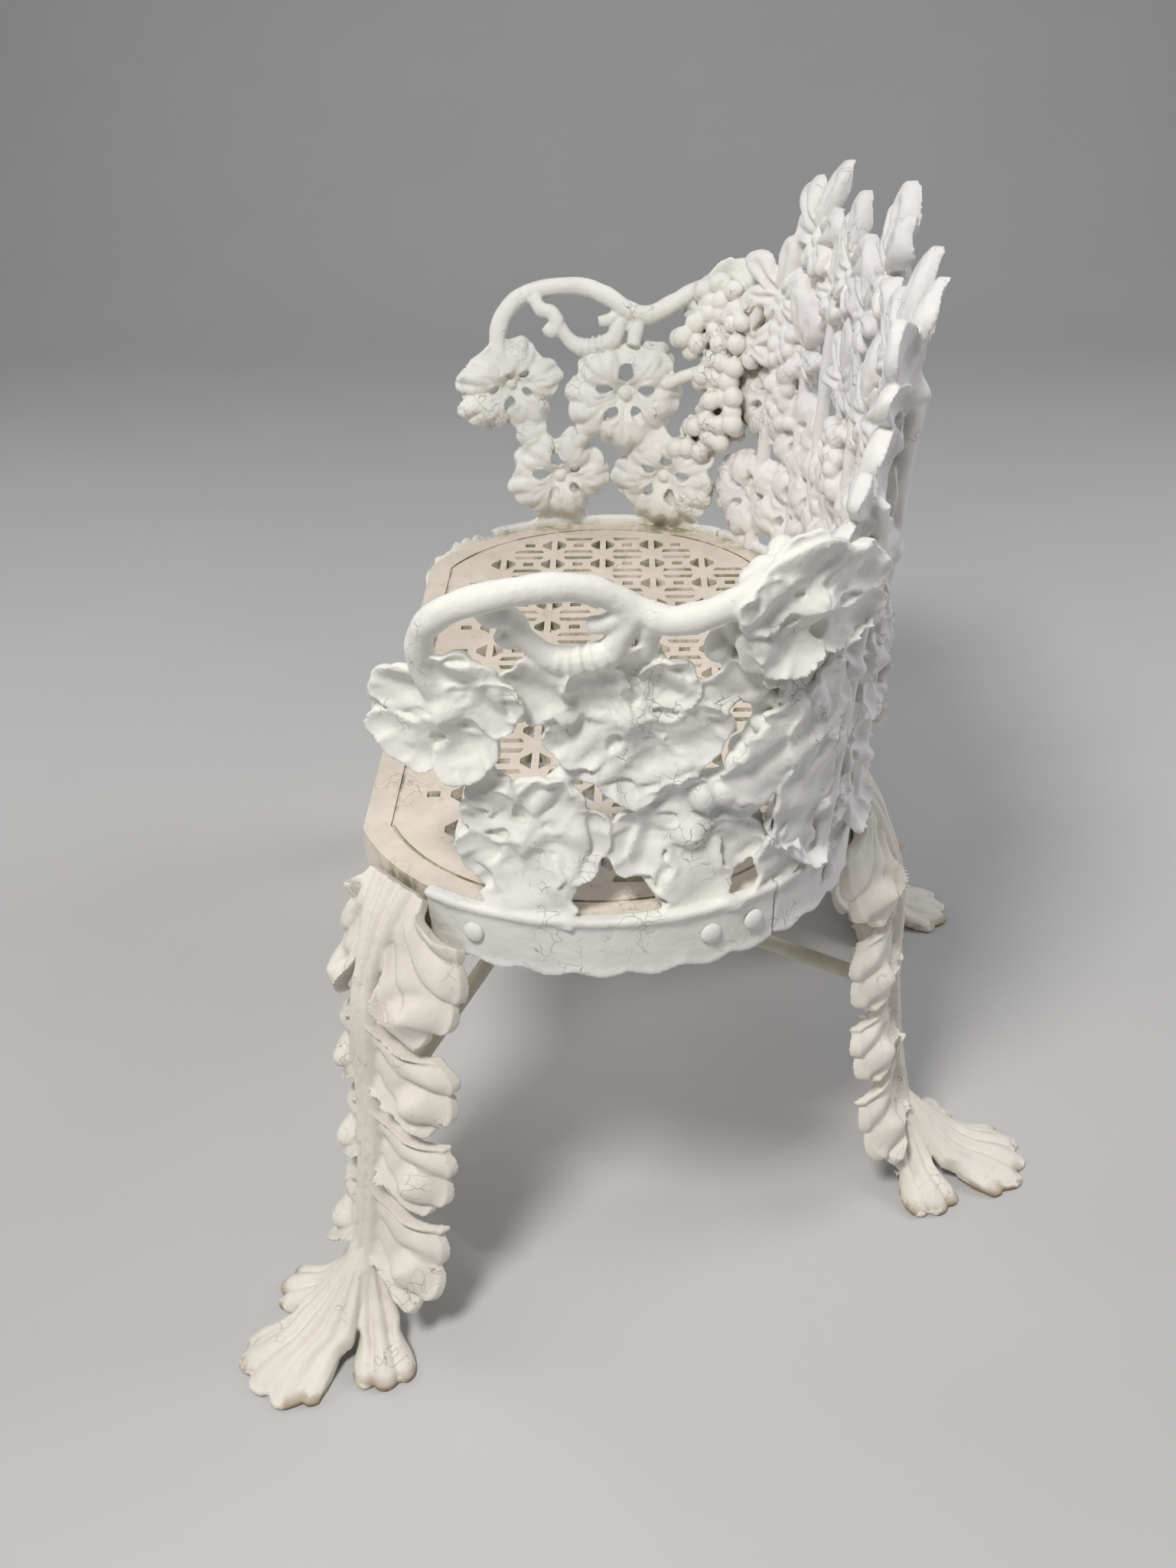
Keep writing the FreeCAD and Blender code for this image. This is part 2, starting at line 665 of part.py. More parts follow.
def rod_ends(leg_place):
    """Where a tie rod leaves its leg, and the direction to the hub."""
    root = leg_place.multVec(Vector(size("shin_reach") - size("leg_thickness") / 2, 0, size("rod_height")))
    heading = (hub_place - root).normalize()
    return root, heading


def placed_leg(leg_place, name):
    root, heading = rod_ends(leg_place)
    boss = Part.makeCylinder(size("boss_radius"), size("boss_length"), root, heading)
    bottom = root + heading * (size("boss_length") - size("socket_depth"))
    socket = Part.makeCylinder(size("rod_radius") + fit_gap, 2 * size("socket_depth"), bottom, heading)
    holes = []
    for spot in leg_bolt_spots(leg_place):
        holes.append(Part.makeCylinder(hole_radius, 4 * size("bracket_thickness"), spot, Vector(0, 0, 1)))
    whole = placed(leg(), leg_place).fuse(boss)
    return single(whole.cut(Part.makeCompound(holes + [socket, seat_space])), name)


def leg_bolt_spots(leg_place):
    """Undersides of the leg brackets where a bolt goes up into the seat."""
    low = seat_height - size("pad_drop") - fit_gap - 2 * size("bracket_thickness")
    spots = []
    for sign in (1, -1):
        spots.append(leg_place.multVec(
            Vector(-size("leg_bolt_inset"), sign * size("leg_bolt_spacing") / 2, low)))
    return spots


front_leg_shape = placed_leg(front_leg_place, "front leg")
rear_leg_shape = placed_leg(rear_leg_place, "rear leg")

# The floor print of the feet is centred on the origin
front_box = front_leg_shape.optimalBoundingBox(False, False)
rear_box = rear_leg_shape.optimalBoundingBox(False, False)
centre_shift = -(front_box.YMin + rear_box.YMax) / 2
base = Placement(Vector(0, centre_shift, 0), Rotation())


def casting(label, shape):
    """Cast piece whose shape is set from the sizes."""
    item = document.addObject("Part::Feature", label)
    item.Label = label
    item.Shape = shape
    item.Placement = base
    return item


def outline_sketch(body, label, level, offsets):
    """Sketch of the seat's plan, grown by each offset, at a level. Levels and offsets are formulas."""
    sketch = body.newObject("Sketcher::SketchObject", label)
    plane = [item for item in body.Origin.OriginFeatures if item.Role == "XY_Plane"][0]
    sketch.AttachmentSupport = (plane, [""])
    sketch.MapMode = "FlatFace"
    sketch.setExpression("AttachmentOffset.Base.z", level)
    for offset in offsets:
        add_outline(sketch, offset)
    return sketch


def add_outline(sketch, offset):
    """Front line, two end arcs and the rear bow, held by the sizes."""
    grown = offset.evaluate()
    corner, join = outline_corners(grown)
    middle = Vector(end_centre, 0, 0)
    up = Vector(0, 0, 1)
    end_circle = Part.Circle(middle, up, end_radius + grown)
    far_circle = Part.Circle(opposite(middle), up, end_radius + grown)
    rear_circle = Part.Circle(Vector(0, rear_centre, 0), up, rear_radius + grown)
    start = math.atan2(corner.y, corner.x - end_centre)
    finish = math.pi / 2 - rear_turn
    front = sketch.addGeometry(Part.LineSegment(opposite(corner), corner))
    left = sketch.addGeometry(Part.ArcOfCircle(end_circle, start, finish))
    rear = sketch.addGeometry(Part.ArcOfCircle(rear_circle, finish, math.pi - finish))
    right = sketch.addGeometry(Part.ArcOfCircle(far_circle, math.pi - finish, math.pi - start))
    begin, close, centre = 1, 2, 3
    origin = (-1, 1)
    across_axis = -1
    sketch.addConstraint(Sketcher.Constraint("Coincident", front, close, left, begin))
    sketch.addConstraint(Sketcher.Constraint("Coincident", front, begin, right, close))
    sketch.addConstraint(Sketcher.Constraint("Tangent", left, close, rear, begin))
    sketch.addConstraint(Sketcher.Constraint("Tangent", rear, close, right, begin))
    sketch.addConstraint(Sketcher.Constraint("Horizontal", front))
    sketch.addConstraint(Sketcher.Constraint("PointOnObject", left, centre, across_axis))
    sketch.addConstraint(Sketcher.Constraint("PointOnObject", right, centre, across_axis))
    sketch.addConstraint(Sketcher.Constraint("Equal", left, right))
    middle_text = "Sizes.seat_length / 2 - Sizes.end_radius"
    rear_text = ("((%s)^2 + (Sizes.end_radius + Sizes.rear_bow)^2 - Sizes.end_radius^2)"
                 " / (2 * Sizes.rear_bow)" % middle_text)
    held = (
        (Sketcher.Constraint("DistanceX", *origin, left, centre, end_centre), middle_text),
        (Sketcher.Constraint("DistanceX", right, centre, *origin, end_centre), middle_text),
        (Sketcher.Constraint("Radius", left, end_radius + grown), "Sizes.end_radius" + offset.formula),
        (Sketcher.Constraint("Radius", rear, rear_radius + grown), rear_text + offset.formula),
        (Sketcher.Constraint("DistanceY", front, begin, *origin, -corner.y),
         "Sizes.end_radius - Sizes.front_trim" + offset.formula),
    )
    for constraint, formula in held:
        number = sketch.addConstraint(constraint)
        sketch.setExpression("Constraints[%d]" % number, formula)


class Inset:
    """Distance inside the seat's edge, as a number and as a formula of the sizes."""

    def __init__(self, *names):
        self.names = names
        self.formula = "".join(" - Sizes." + name for name in names)

    def evaluate(self):
        return -sum(size(name) for name in self.names)


# Seat: solid oblong, hollowed underneath, with a moulded line near its edge
seat_body = document.addObject("PartDesign::Body", "seat_blank")
seat_pad = seat_body.newObject("PartDesign::Pad", "seat_depth")
seat_pad.Profile = outline_sketch(seat_body, "seat_outline", "Sizes.seat_height", [Inset()])
seat_pad.Reversed = True
seat_pad.setExpression("Length", "Sizes.rim_drop")
hollow = seat_body.newObject("PartDesign::Pocket", "seat_hollow")
hollow.Profile = outline_sketch(
    seat_body, "hollow_outline", "Sizes.seat_height - Sizes.rim_drop", [Inset("rim_thickness")])
hollow.Reversed = True
hollow.setExpression("Length", "Sizes.rim_drop - Sizes.plate_thickness")
groove = seat_body.newObject("PartDesign::Pocket", "seat_groove")
groove.Profile = outline_sketch(
    seat_body, "groove_outline", "Sizes.seat_height",
    [Inset("groove_inset"), Inset("groove_inset", "groove_width")])
groove.setExpression("Length", "Sizes.groove_depth")
seat_body.Placement = base


def inside_field(point):
    """Whether a point lies in the pierced part of the seat."""
    margin = size("field_margin")
    beyond = abs(point.x) - end_centre
    if point.y < margin - front_reach:
        return False
    if beyond > 0:
        return math.hypot(beyond, point.y) < end_radius - margin
    return math.hypot(point.x, point.y - rear_centre) < rear_radius - margin


def pierced_holes():
    """Kites beside each spine bar, windows between the spine bars and slots between the slats."""
    pitch = size("lattice_pitch")
    slot_half = (pitch / 3 - size("slat_width")) / 2
    long_half = size("slot_length") / 2
    short_half = long_half - size("slot_taper")
    near = size("spine_bar") / 2
    far = near + size("kite_width")
    kite = size("kite_length") / 2
    tip = size("kite_tip") / 2
    window_x = size("window_width") / 2
    window_y = size("window_length") / 2
    columns = 2
    rows = int(size("seat_length") / 2 / pitch)
    outlines = []
    for row in range(-rows, rows + 1):
        x = row * pitch
        star = x + pitch / 2
        for column in range(-columns, columns + 1):
            y = column * pitch
            for sign in (1, -1):
                outlines.append(((x - kite, y + sign * near), (x + kite, y + sign * near),
                                 (x + tip, y + sign * far), (x - tip, y + sign * far)))
        for column in range(-columns - 1, columns + 1):
            y = (column + 0.5) * pitch
            outlines.append(((x - window_x, y - window_y), (x + window_x, y - window_y),
                             (x + window_x, y + window_y), (x - window_x, y + window_y)))
            for sign in (1, -1):
                inner = star + sign * (pitch / 6 - slot_half)
                outer = star + sign * (pitch / 6 + slot_half)
                outlines.append(((inner, y - long_half), (inner, y + long_half),
                                 (outer, y + short_half), (outer, y - short_half)))
    holes = []
    for outline in outlines:
        corners = [Vector(x, y, seat_height + STEP) for x, y in outline]
        if all(inside_field(corner) for corner in corners):
            face = Part.Face(Part.makePolygon(corners + corners[:1]))
            holes.append(face.extrude(Vector(0, 0, -size("plate_thickness") - 2 * STEP)))
    return holes


def leg_pad(leg_place):
    """Block under the seat, inside its rim, that a leg bracket is bolted to."""
    depth = size("pad_depth")
    width = size("pad_width")
    drop = size("pad_drop") - size("plate_thickness") / 2
    corner = Vector(-depth - leg_face, -width / 2, seat_height - size("pad_drop"))
    block = Part.makeBox(depth, width, drop, corner)
    rim = outline_face(-size("rim_thickness") / 2, 0).extrude(Vector(0, 0, seat_height))
    return placed(block, leg_place).common(rim)


leg_places = (front_leg_place, rear_leg_place)
pads = [leg_pad(leg_place) for leg_place in leg_places]
pads += [mirrored(pad) for pad in pads]
seat_pads = casting("seat_pads", Part.makeCompound(pads))
seat_solid = document.addObject("Part::MultiFuse", "seat_with_pads")
seat_solid.Shapes = [seat_body, seat_pads]
seat_openings = pierced_holes()
seat_openings += bored(arm_left_bolts + arm_right_bolts + back_bolt_places, hole_radius, apron_stack)
tapped = []
for leg_place in leg_places:
    for spot in leg_bolt_spots(leg_place):
        tapped_depth = 2 * size("bracket_thickness") + size("leg_bolt_grip")
        tapped_radius = size("bolt_radius") + size("thread_clearance")
        tapped.append(Part.makeCylinder(tapped_radius, tapped_depth, spot, Vector(0, 0, 1)))
seat_openings += tapped + [mirrored(hole) for hole in tapped]
seat_cuts = casting("seat_openings", Part.makeCompound(seat_openings))
seat_plate = document.addObject("Part::Cut", "seat_plate")
seat_plate.Base = seat_solid
seat_plate.Tool = seat_cuts

arm_left = casting("arm_left", arm_shape)
arm_right = casting("arm_right", mirrored(arm_shape))
back_panel = casting("back_panel", back_shape)
leg_front_left = casting("leg_front_left", front_leg_shape)
leg_front_right = casting("leg_front_right", mirrored(front_leg_shape))
leg_rear_left = casting("leg_rear_left", rear_leg_shape)
leg_rear_right = casting("leg_rear_right", mirrored(rear_leg_shape))


def tie_rod(label, leg_place, sign):
    """Plain rod from the socket of a leg to the socket of the hub."""
    root, heading = rod_ends(leg_place)
    first = root + heading * (size("boss_length") - size("socket_depth") + fit_gap)
    last = hub_place - heading * (size("hub_radius") - size("socket_depth") + fit_gap)
    rod = document.addObject("Part::Cylinder", label)
    rod.setExpression("Radius", "Sizes.rod_radius")
    rod.Height = (last - first).Length
    first = Vector(sign * first.x, first.y, first.z)
    heading = Vector(sign * heading.x, heading.y, heading.z)
    rod.Placement = base.multiply(Placement(first, Rotation(Vector(0, 0, 1), heading)))
    return rod


rods = [
    tie_rod("tie_rod_front_left", front_leg_place, 1),
    tie_rod("tie_rod_front_right", front_leg_place, -1),
    tie_rod("tie_rod_rear_left", rear_leg_place, 1),
    tie_rod("tie_rod_rear_right", rear_leg_place, -1),
]

hub_disc = document.addObject("Part::Cylinder", "hub_disc")
hub_disc.setExpression("Radius", "Sizes.hub_radius")
hub_disc.setExpression("Height", "Sizes.hub_height")
hub_disc.Placement = base.multiply(Placement(hub_place - Vector(0, 0, size("hub_height") / 2), Rotation()))
sockets = []
for leg_place in leg_places:
    heading = rod_ends(leg_place)[1]
    bottom = hub_place - heading * (size("hub_radius") - size("socket_depth"))
    sockets.append(Part.makeCylinder(size("rod_radius") + fit_gap, size("hub_radius"), bottom, heading * -1))
sockets += [mirrored(socket) for socket in sockets]
hub_sockets = casting("hub_sockets", Part.makeCompound(sockets))
tie_rod_hub = document.addObject("Part::Cut", "tie_rod_hub")
tie_rod_hub.Base = hub_disc
tie_rod_hub.Tool = hub_sockets


def bolt(label, length):
    """Round-headed bolt: its head stands up from the origin and its shank hangs below."""
    head = document.addObject("Part::Ellipsoid", label + "_head")
    head.setExpression("Radius1", "Sizes.bolt_head_height")
    head.setExpression("Radius2", "Sizes.bolt_head_radius")
    head.Angle1 = 0
    shank = document.addObject("Part::Cylinder", label + "_shank")
    shank.setExpression("Radius", "Sizes.bolt_radius")
    shank.setExpression("Height", length)
    shank.setExpression("Placement.Base.z", "-(%s)" % length)
    whole = document.addObject("Part::Fuse", label)
    whole.Base = head
    whole.Tool = shank
    return whole


def nut(label, reach, rise, bore):
    """Six-sided piece with a hole along Z."""
    blank = document.addObject("Part::Prism", label + "_blank")
    blank.Polygon = 6
    blank.setExpression("Circumradius", reach)
    blank.setExpression("Height", rise)
    hole = document.addObject("Part::Cylinder", label + "_hole")
    hole.setExpression("Radius", bore)
    hole.setExpression("Height", rise)
    whole = document.addObject("Part::Cut", label)
    whole.Base = blank
    whole.Tool = hole
    return whole


def group(label, item, places):
    """Identical pieces, one at each place."""
    copies = [placed(item.Shape, place) for place in places]
    return casting(label, Part.makeCompound(copies))


apron_length = ("2 * Sizes.fit_gap + Sizes.apron_thickness + Sizes.rim_thickness"
                " + Sizes.nut_height + Sizes.thread_show")
rail_length = ("2 * Sizes.fit_gap + Sizes.leaf_thickness + Sizes.lug_thickness"
               " + Sizes.nut_height + Sizes.thread_show")
apron_bolt = bolt("apron_bolt", apron_length)
rail_bolt = bolt("rail_bolt", rail_length)
hex_nut = nut("hex_nut", "Sizes.nut_radius", "Sizes.nut_height", "Sizes.bolt_radius + Sizes.thread_clearance")
leg_bolt_head = document.addObject("Part::Prism", "leg_bolt_head")
leg_bolt_head.Polygon = 6
leg_bolt_head.setExpression("Circumradius", "Sizes.nut_radius")
leg_bolt_head.setExpression("Height", "Sizes.bolt_head_height")
leg_bolt_head.setExpression("Placement.Base.z", "-Sizes.bolt_head_height")
leg_bolt_shank = document.addObject("Part::Cylinder", "leg_bolt_shank")
leg_bolt_shank.setExpression("Radius", "Sizes.bolt_radius")
leg_bolt_shank.setExpression(
    "Height", "Sizes.washer_thickness + Sizes.bracket_thickness + Sizes.leg_bolt_grip / 2")
leg_bolt = document.addObject("Part::Fuse", "leg_bolt")
leg_bolt.Base = leg_bolt_head
leg_bolt.Tool = leg_bolt_shank
washer_blank = document.addObject("Part::Cylinder", "washer_blank")
washer_blank.setExpression("Radius", "Sizes.washer_radius")
washer_blank.setExpression("Height", "Sizes.washer_thickness")
washer_hole = document.addObject("Part::Cylinder", "washer_hole")
washer_hole.setExpression("Radius", "Sizes.bolt_radius + Sizes.hole_clearance")
washer_hole.setExpression("Height", "Sizes.washer_thickness")
washer = document.addObject("Part::Cut", "washer")
washer.Base = washer_blank
washer.Tool = washer_hole
document.recompute()


def turned_in(places, depth):
    """The same axes at a depth below the faces, with Z inwards."""
    turn = Placement(Vector(0, 0, -depth), Rotation(Vector(1, 0, 0), 180))
    return [place.multiply(turn) for place in places]


rail_places = [
    junction.multiply(Placement(Vector(0, 0, size("leaf_thickness") / 2), Rotation()))
    for junction in (junction_left, junction_right)
]
nut_depth = apron_face + size("rim_thickness") + fit_gap
rail_depth = size("leaf_thickness") + 2 * fit_gap + size("lug_thickness")
washer_places = []
for leg_place in leg_places:
    for spot in leg_bolt_spots(leg_place):
        low = spot + Vector(0, 0, size("bracket_thickness") - size("washer_thickness") - fit_gap)
        washer_places.append(Placement(low, Rotation()))
        washer_places.append(Placement(opposite(low), Rotation()))

arm_places = arm_left_bolts + arm_right_bolts
nodes = [
    seat_plate, arm_left, arm_right, back_panel,
    leg_front_left, leg_front_right, leg_rear_left, leg_rear_right, tie_rod_hub,
] + rods + [
    group("arm_bolts", apron_bolt, arm_places),
    group("arm_nuts", hex_nut, turned_in(arm_places, nut_depth)),
    group("back_bolts", apron_bolt, back_bolt_places),
    group("back_nuts", hex_nut, turned_in(back_bolt_places, nut_depth)),
    group("rail_bolts", rail_bolt, rail_places),
    group("rail_nuts", hex_nut, turned_in(rail_places, rail_depth)),
    group("leg_washers", washer, washer_places),
    group("leg_bolts", leg_bolt, washer_places),
]
document.recompute()

for item in document.Objects:
    if "Invalid" in item.State or "Error" in item.State:
        raise RuntimeError("%s did not build" % item.Label)
    if hasattr(item, "Shape") and item in nodes:
        if item.Shape.isNull() or not item.Shape.isValid():
            raise RuntimeError("%s has a bad shape" % item.Label)

os.makedirs("parts", exist_ok=True)
for node in nodes:
    node.Shape.exportStep(os.path.join("parts", node.Label + ".step"))
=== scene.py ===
"""Looks of a cast iron garden bench: sculpted vine leaf castings, leaf legs and aged white paint.

Sizes of the castings are in millimetres. Places on their walls are given along the seat's edge, up from its
top and outwards. The stage, the lamps, the camera and the paint are in metres.
"""
import math

import bmesh
import bpy
import numpy as np
from mathutils import Matrix, Vector


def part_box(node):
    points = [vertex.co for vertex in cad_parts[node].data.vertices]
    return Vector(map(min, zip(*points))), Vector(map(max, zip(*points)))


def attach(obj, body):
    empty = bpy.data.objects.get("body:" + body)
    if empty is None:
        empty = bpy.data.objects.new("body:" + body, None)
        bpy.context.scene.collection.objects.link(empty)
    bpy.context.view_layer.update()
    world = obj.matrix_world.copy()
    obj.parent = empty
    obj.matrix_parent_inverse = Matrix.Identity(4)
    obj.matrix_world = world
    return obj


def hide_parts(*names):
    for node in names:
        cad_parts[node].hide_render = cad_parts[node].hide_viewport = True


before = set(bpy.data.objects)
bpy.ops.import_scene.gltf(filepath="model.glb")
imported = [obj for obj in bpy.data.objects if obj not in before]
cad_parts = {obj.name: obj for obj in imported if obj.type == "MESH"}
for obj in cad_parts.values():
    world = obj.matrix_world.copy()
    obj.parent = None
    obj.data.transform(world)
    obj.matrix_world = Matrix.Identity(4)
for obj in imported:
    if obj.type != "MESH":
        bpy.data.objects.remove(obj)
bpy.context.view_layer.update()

MM = 0.001
RANDOM = np.random.default_rng(11)
# Range of the random phases of waves, in radians
PHASES = (0, 6)

# Plan of the seat, which the castings follow
END_RADIUS = 195
REAR_BOW = 15
FRONT_REACH = 181
seat_low, seat_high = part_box("seat_plate")
SEAT_HEIGHT = seat_high.z / MM
END_CENTRE = seat_high.x / MM - END_RADIUS
MIDDLE_Y = seat_low.y / MM + FRONT_REACH
REAR_REACH = END_RADIUS + REAR_BOW
REAR_RADIUS = (END_CENTRE ** 2 + REAR_REACH ** 2 - END_RADIUS ** 2) / (2 * REAR_BOW)
REAR_CENTRE = REAR_REACH - REAR_RADIUS
REAR_TURN = math.atan2(END_CENTRE, -REAR_CENTRE)
REAR_HALF_LENGTH = REAR_RADIUS * REAR_TURN

# Aprons: bands outside the seat's rim that carry the walls
FIT_GAP = 0.3
APRON_THICKNESS = 8
APRON_DROP = 41
APRON_LIP = 6
APRON_STEP = 5
SCALLOP_DEPTH = 5
ARM_SCALLOPS = 7
BACK_SCALLOPS = 22
BEAD_HEIGHT = 3.2
BEAD_WIDTH = 3.6
BEAD_BELOW_LIP = 3.5
HEM_HEIGHT = 1.2
SEAM_REACH = 125
SEAM_GAP = 1
ARM_FRONT_REACH = 118

# Walls of vine work over the aprons
WALL_LEAN = 0.05
WALL_FLARE = 16
FLARE_HEIGHT = 420
CORNER_FLARE = 14
ARM_FLAT_HEIGHT = 120
ARM_SQUARE_DEPTH = 182
ARM_SQUARE_POWER = 3.5
ARM_CORNER_REACH = 160
ARM_CORNER_SLOPE = 1.5
ARM_LEAN = 22
ARM_HEIGHT = 250

# Arm leaves: towards the front, height, radius, turn in degrees, step outwards
ARM_LEAVES = (
    (95, 161, 54, 205, 5), (-26, 151, 66, 178, -9), (47, 61, 58, 190, -6), (-69, 61, 59, 168, -10),
    (-136, 234, 53, 150, 8),
)
# Branches of the arm: towards the front, height, step outwards, radius
ARM_RAIL = (
    (100, 172, 4, 8.5), (107, 200, 8, 9), (100, 230, 10, 9.4), (74, 250, 10, 9.6), (25, 257, 2, 9.6),
    (-5, 250, -7, 9.4), (-28, 236, -9, 9.6), (-52, 229, -2, 10), (-78, 240, 6, 9.6), (-98, 252, 6, 9.4),
    (-112, 258, -2, 9),
)
ARM_BRANCH = ((-40, 232, -4, 9), (-37, 216, -7, 8), (-34, 200, -9, 7.5))
ARM_SPUR = ((-24, 236, -6, 7.5), (-10, 226, -6, 6.5), (2, 224, -7, 5.5))
ARM_CURL = (
    (70, 246, 4, 7), (63, 236, 0, 8), (52, 233, -4, 8), (46, 223, -6, 8), (52, 215, -5, 7.5),
    (59, 220, -3, 6),
)
ARM_STALKS = (
    ((44, 80, -6, 7), (28, 98, -8, 7.5), (12, 114, -8, 7)),
    ((-66, 160, -8, 7), (-84, 168, -9, 7), (-104, 176, -9, 7)),
)
ARM_TENDRIL = (
    (48, 228, -4, 7), (40, 214, -4, 7.5), (30, 203, -4, 8.5), (16, 198, -4, 10), (0, 200, -4, 10.5),
    (-12, 205, -4, 10), (-20, 220, -5, 8.5), (-30, 236, -6, 8),
)
# Swelling of the branches and the ribs of the tendril, as shares of their radius
BRANCH_KNOTS = 0.06
ARM_KNOTS = 0.03
TENDRIL_RIBS = 0.2
# Sheets of thin iron between leaves, down to the apron and behind the grapes: place as above, half width
ARM_STRIPS = (
    ((47, -3, 0, 34), (47, 24, -2, 27), (47, 52, -5, 18)),
    ((-72, -3, 0, 28), (-71, 24, -4, 23), (-70, 52, -9, 16)),
    ((92, 140, 3, 12), (76, 108, 0, 15), (60, 84, -4, 14)),
    ((-34, 128, -9, 16), (-50, 104, -10, 19), (-60, 84, -10, 16)),
    ((-116, 276, 5, 12), (-134, 262, 7, 22), (-128, 236, 7, 30), (-122, 210, 7, 30), (-134, 186, 7, 23),
     (-140, 162, 7, 21), (-130, 134, 7, 24), (-110, 108, 4, 23), (-90, 97, 0, 16)),
)
NEAR_ARM_STRIPS = (
    ((92, 172, 5, 10), (62, 172, 2, 20), (34, 176, -2, 24), (4, 176, -6, 24), (-22, 166, -9, 14)),
    ((-60, 156, -10, 10), (-84, 172, -5, 16), (-108, 190, 1, 20), (-124, 210, 6, 20)),
    ((-146, 170, 7, 18), (-146, 110, 7, 19), (-136, 50, 4, 18), (-124, 0, 0, 16)),
)
STRIP_HALF_THICKNESS = 2.8
STRIP_CRUMPLE = 3.5
STRIP_EDGE_RISE = 3
# Arm grapes: towards the front, height
ARM_GRAPES = (
    (-111, 257), (-128, 265), (-146, 261), (-134, 248), (-150, 244), (-118, 246), (-102, 224), (-89, 211),
    (-118, 235), (-133, 236), (-125, 219), (-146, 228), (-158, 234), (-104, 204), (-133, 208), (-153, 211),
    (-121, 190), (-137, 190), (-150, 188), (-127, 172), (-143, 172), (-111, 174), (-123, 150), (-138, 154),
    (-150, 158), (-147, 141), (-134, 126), (-149, 130), (-120, 110), (-134, 106), (-104, 120), (-95, 97),
    (-109, 93), (-82, 95), (-118, 128),
)
ARM_GRAPE_LIFT = (-17, -9)
ARM_GRAPE_RADIUS = (10.4, 11.8)
# Second layer of the arm's grapes, behind the first and stepped from it
UNDER_GRAPE_FORWARD = (3, 9)
UNDER_GRAPE_RISE = (-9, -3)
UNDER_GRAPE_LIFT = -5
UNDER_GRAPE_RADIUS = 11

# Back leaves: along the rear edge, height, radius, turn in degrees, step outwards
BACK_MIDDLE_LEAVES = ((0, 350, 68, 0, -6), (0, 236, 62, 4, -4), (0, 150, 56, 184, 2), (0, 58, 56, 184, -2))
BACK_SIDE_LEAVES = (
    (131, 322, 66, -6, -8), (246, 330, 70, -10, -10), (66, 300, 60, 8, -4), (190, 292, 60, -8, -4),
    (298, 264, 58, -8, -10), (336, 212, 50, -6, -12), (66, 212, 58, 10, 2), (128, 226, 60, -12, 0),
    (250, 222, 60, 8, -4), (310, 160, 54, 160, 3), (64, 124, 52, 164, 1), (190, 106, 54, 190, 2),
    (122, 58, 54, 188, -3), (124, 144, 50, 176, 3), (250, 58, 58, 174, 0), (254, 142, 50, 200, 3),
    (320, 58, 54, 168, -3),
)
# Leaves of the back above this height have finger lobes
FINGER_ROW_HEIGHT = 205
BACK_STEMS = (
    ((0, -8, 0, 9), (4, 58, 1, 9), (-4, 130, 1, 8), (3, 240, 1, 8), (1, 330, 0, 7)),
    ((4, 250, 2, 7), (40, 236, 3, 7), (90, 262, 2, 7), (150, 296, 2, 7), (205, 266, 2, 7), (255, 236, 2, 7),
     (300, 246, 2, 7), (330, 250, 2, 7)),
    ((118, -8, 0, 8), (122, 60, 2, 8), (124, 150, 3, 7), (120, 230, 3, 7), (131, 320, 2, 7)),
    ((236, -8, 0, 8), (242, 60, 2, 8), (250, 140, 3, 7), (252, 232, 3, 7), (246, 330, 2, 7)),
    ((314, -8, 0, 8), (312, 60, 2, 8), (306, 160, 2, 8), (298, 230, 2, 8), (300, 276, 2, 7)),
    ((58, -8, 0, 7), (60, 60, 2, 7), (62, 120, 2, 7), (66, 250, 2, 7), (66, 300, 2, 7)),
    ((184, -8, 0, 7), (188, 80, 2, 7), (192, 200, 3, 7), (190, 300, 2, 7)),
)
# Middle line of each bunch of grapes on the back: along the edge, height
BACK_BUNCHES = (((282, 232), (276, 204), (282, 178), (276, 150)), ((94, 196), (98, 170), (92, 142)))
BUNCH_STEP = 13
BUNCH_ALONG_SHIFT = (-3, 3)
BUNCH_RISE_SHIFT = (-4, 4)
BUNCH_GRAPE_LIFT = (-12, -3)
BUNCH_GRAPE_RADIUS = (8.4, 10.4)

# Lobes of a leaf: direction from the tip in degrees, half width in degrees, length as a share of the radius
BROAD_LOBES = ((0, 36, 1.0), (71, 36, 0.98), (-71, 36, 0.98), (141, 34, 0.9), (-141, 34, 0.9))
FINGER_LOBES = (
    (0, 26, 1.08), (48, 25, 0.92), (-48, 25, 0.92), (98, 26, 0.72), (-98, 26, 0.72), (150, 28, 0.5),
    (-150, 28, 0.5),
)
# Width of a lobe, as a share of its place in the leaf, at shares of its length
BROAD_WIDTH = (
    (0, 1.1), (0.26, 1.04), (0.34, 0.6), (0.44, 0.54), (0.58, 0.84), (0.7, 1.06), (0.9, 1.04), (1, 0.9),
)
FINGER_WIDTH = (
    (0, 1.4), (0.3, 1.3), (0.4, 0.96), (0.5, 0.9), (0.62, 0.92), (0.8, 0.94), (0.92, 0.9), (1, 0.84),
)
# Depths of a leaf's relief are given for this radius and grow with the leaf
LEAF_RADIUS = 58
LEAF_HOLLOW = 6
# Least thickness of a leaf, its lean, the crumpling of its outer side, and the spread between its lobes
LEAF_EDGE = 4.2
LEAF_LEAN = 5
LEAF_CRUMPLE = 2.2
LOBE_STRETCH = (0.92, 1.06)
LOBE_TWIST = 4
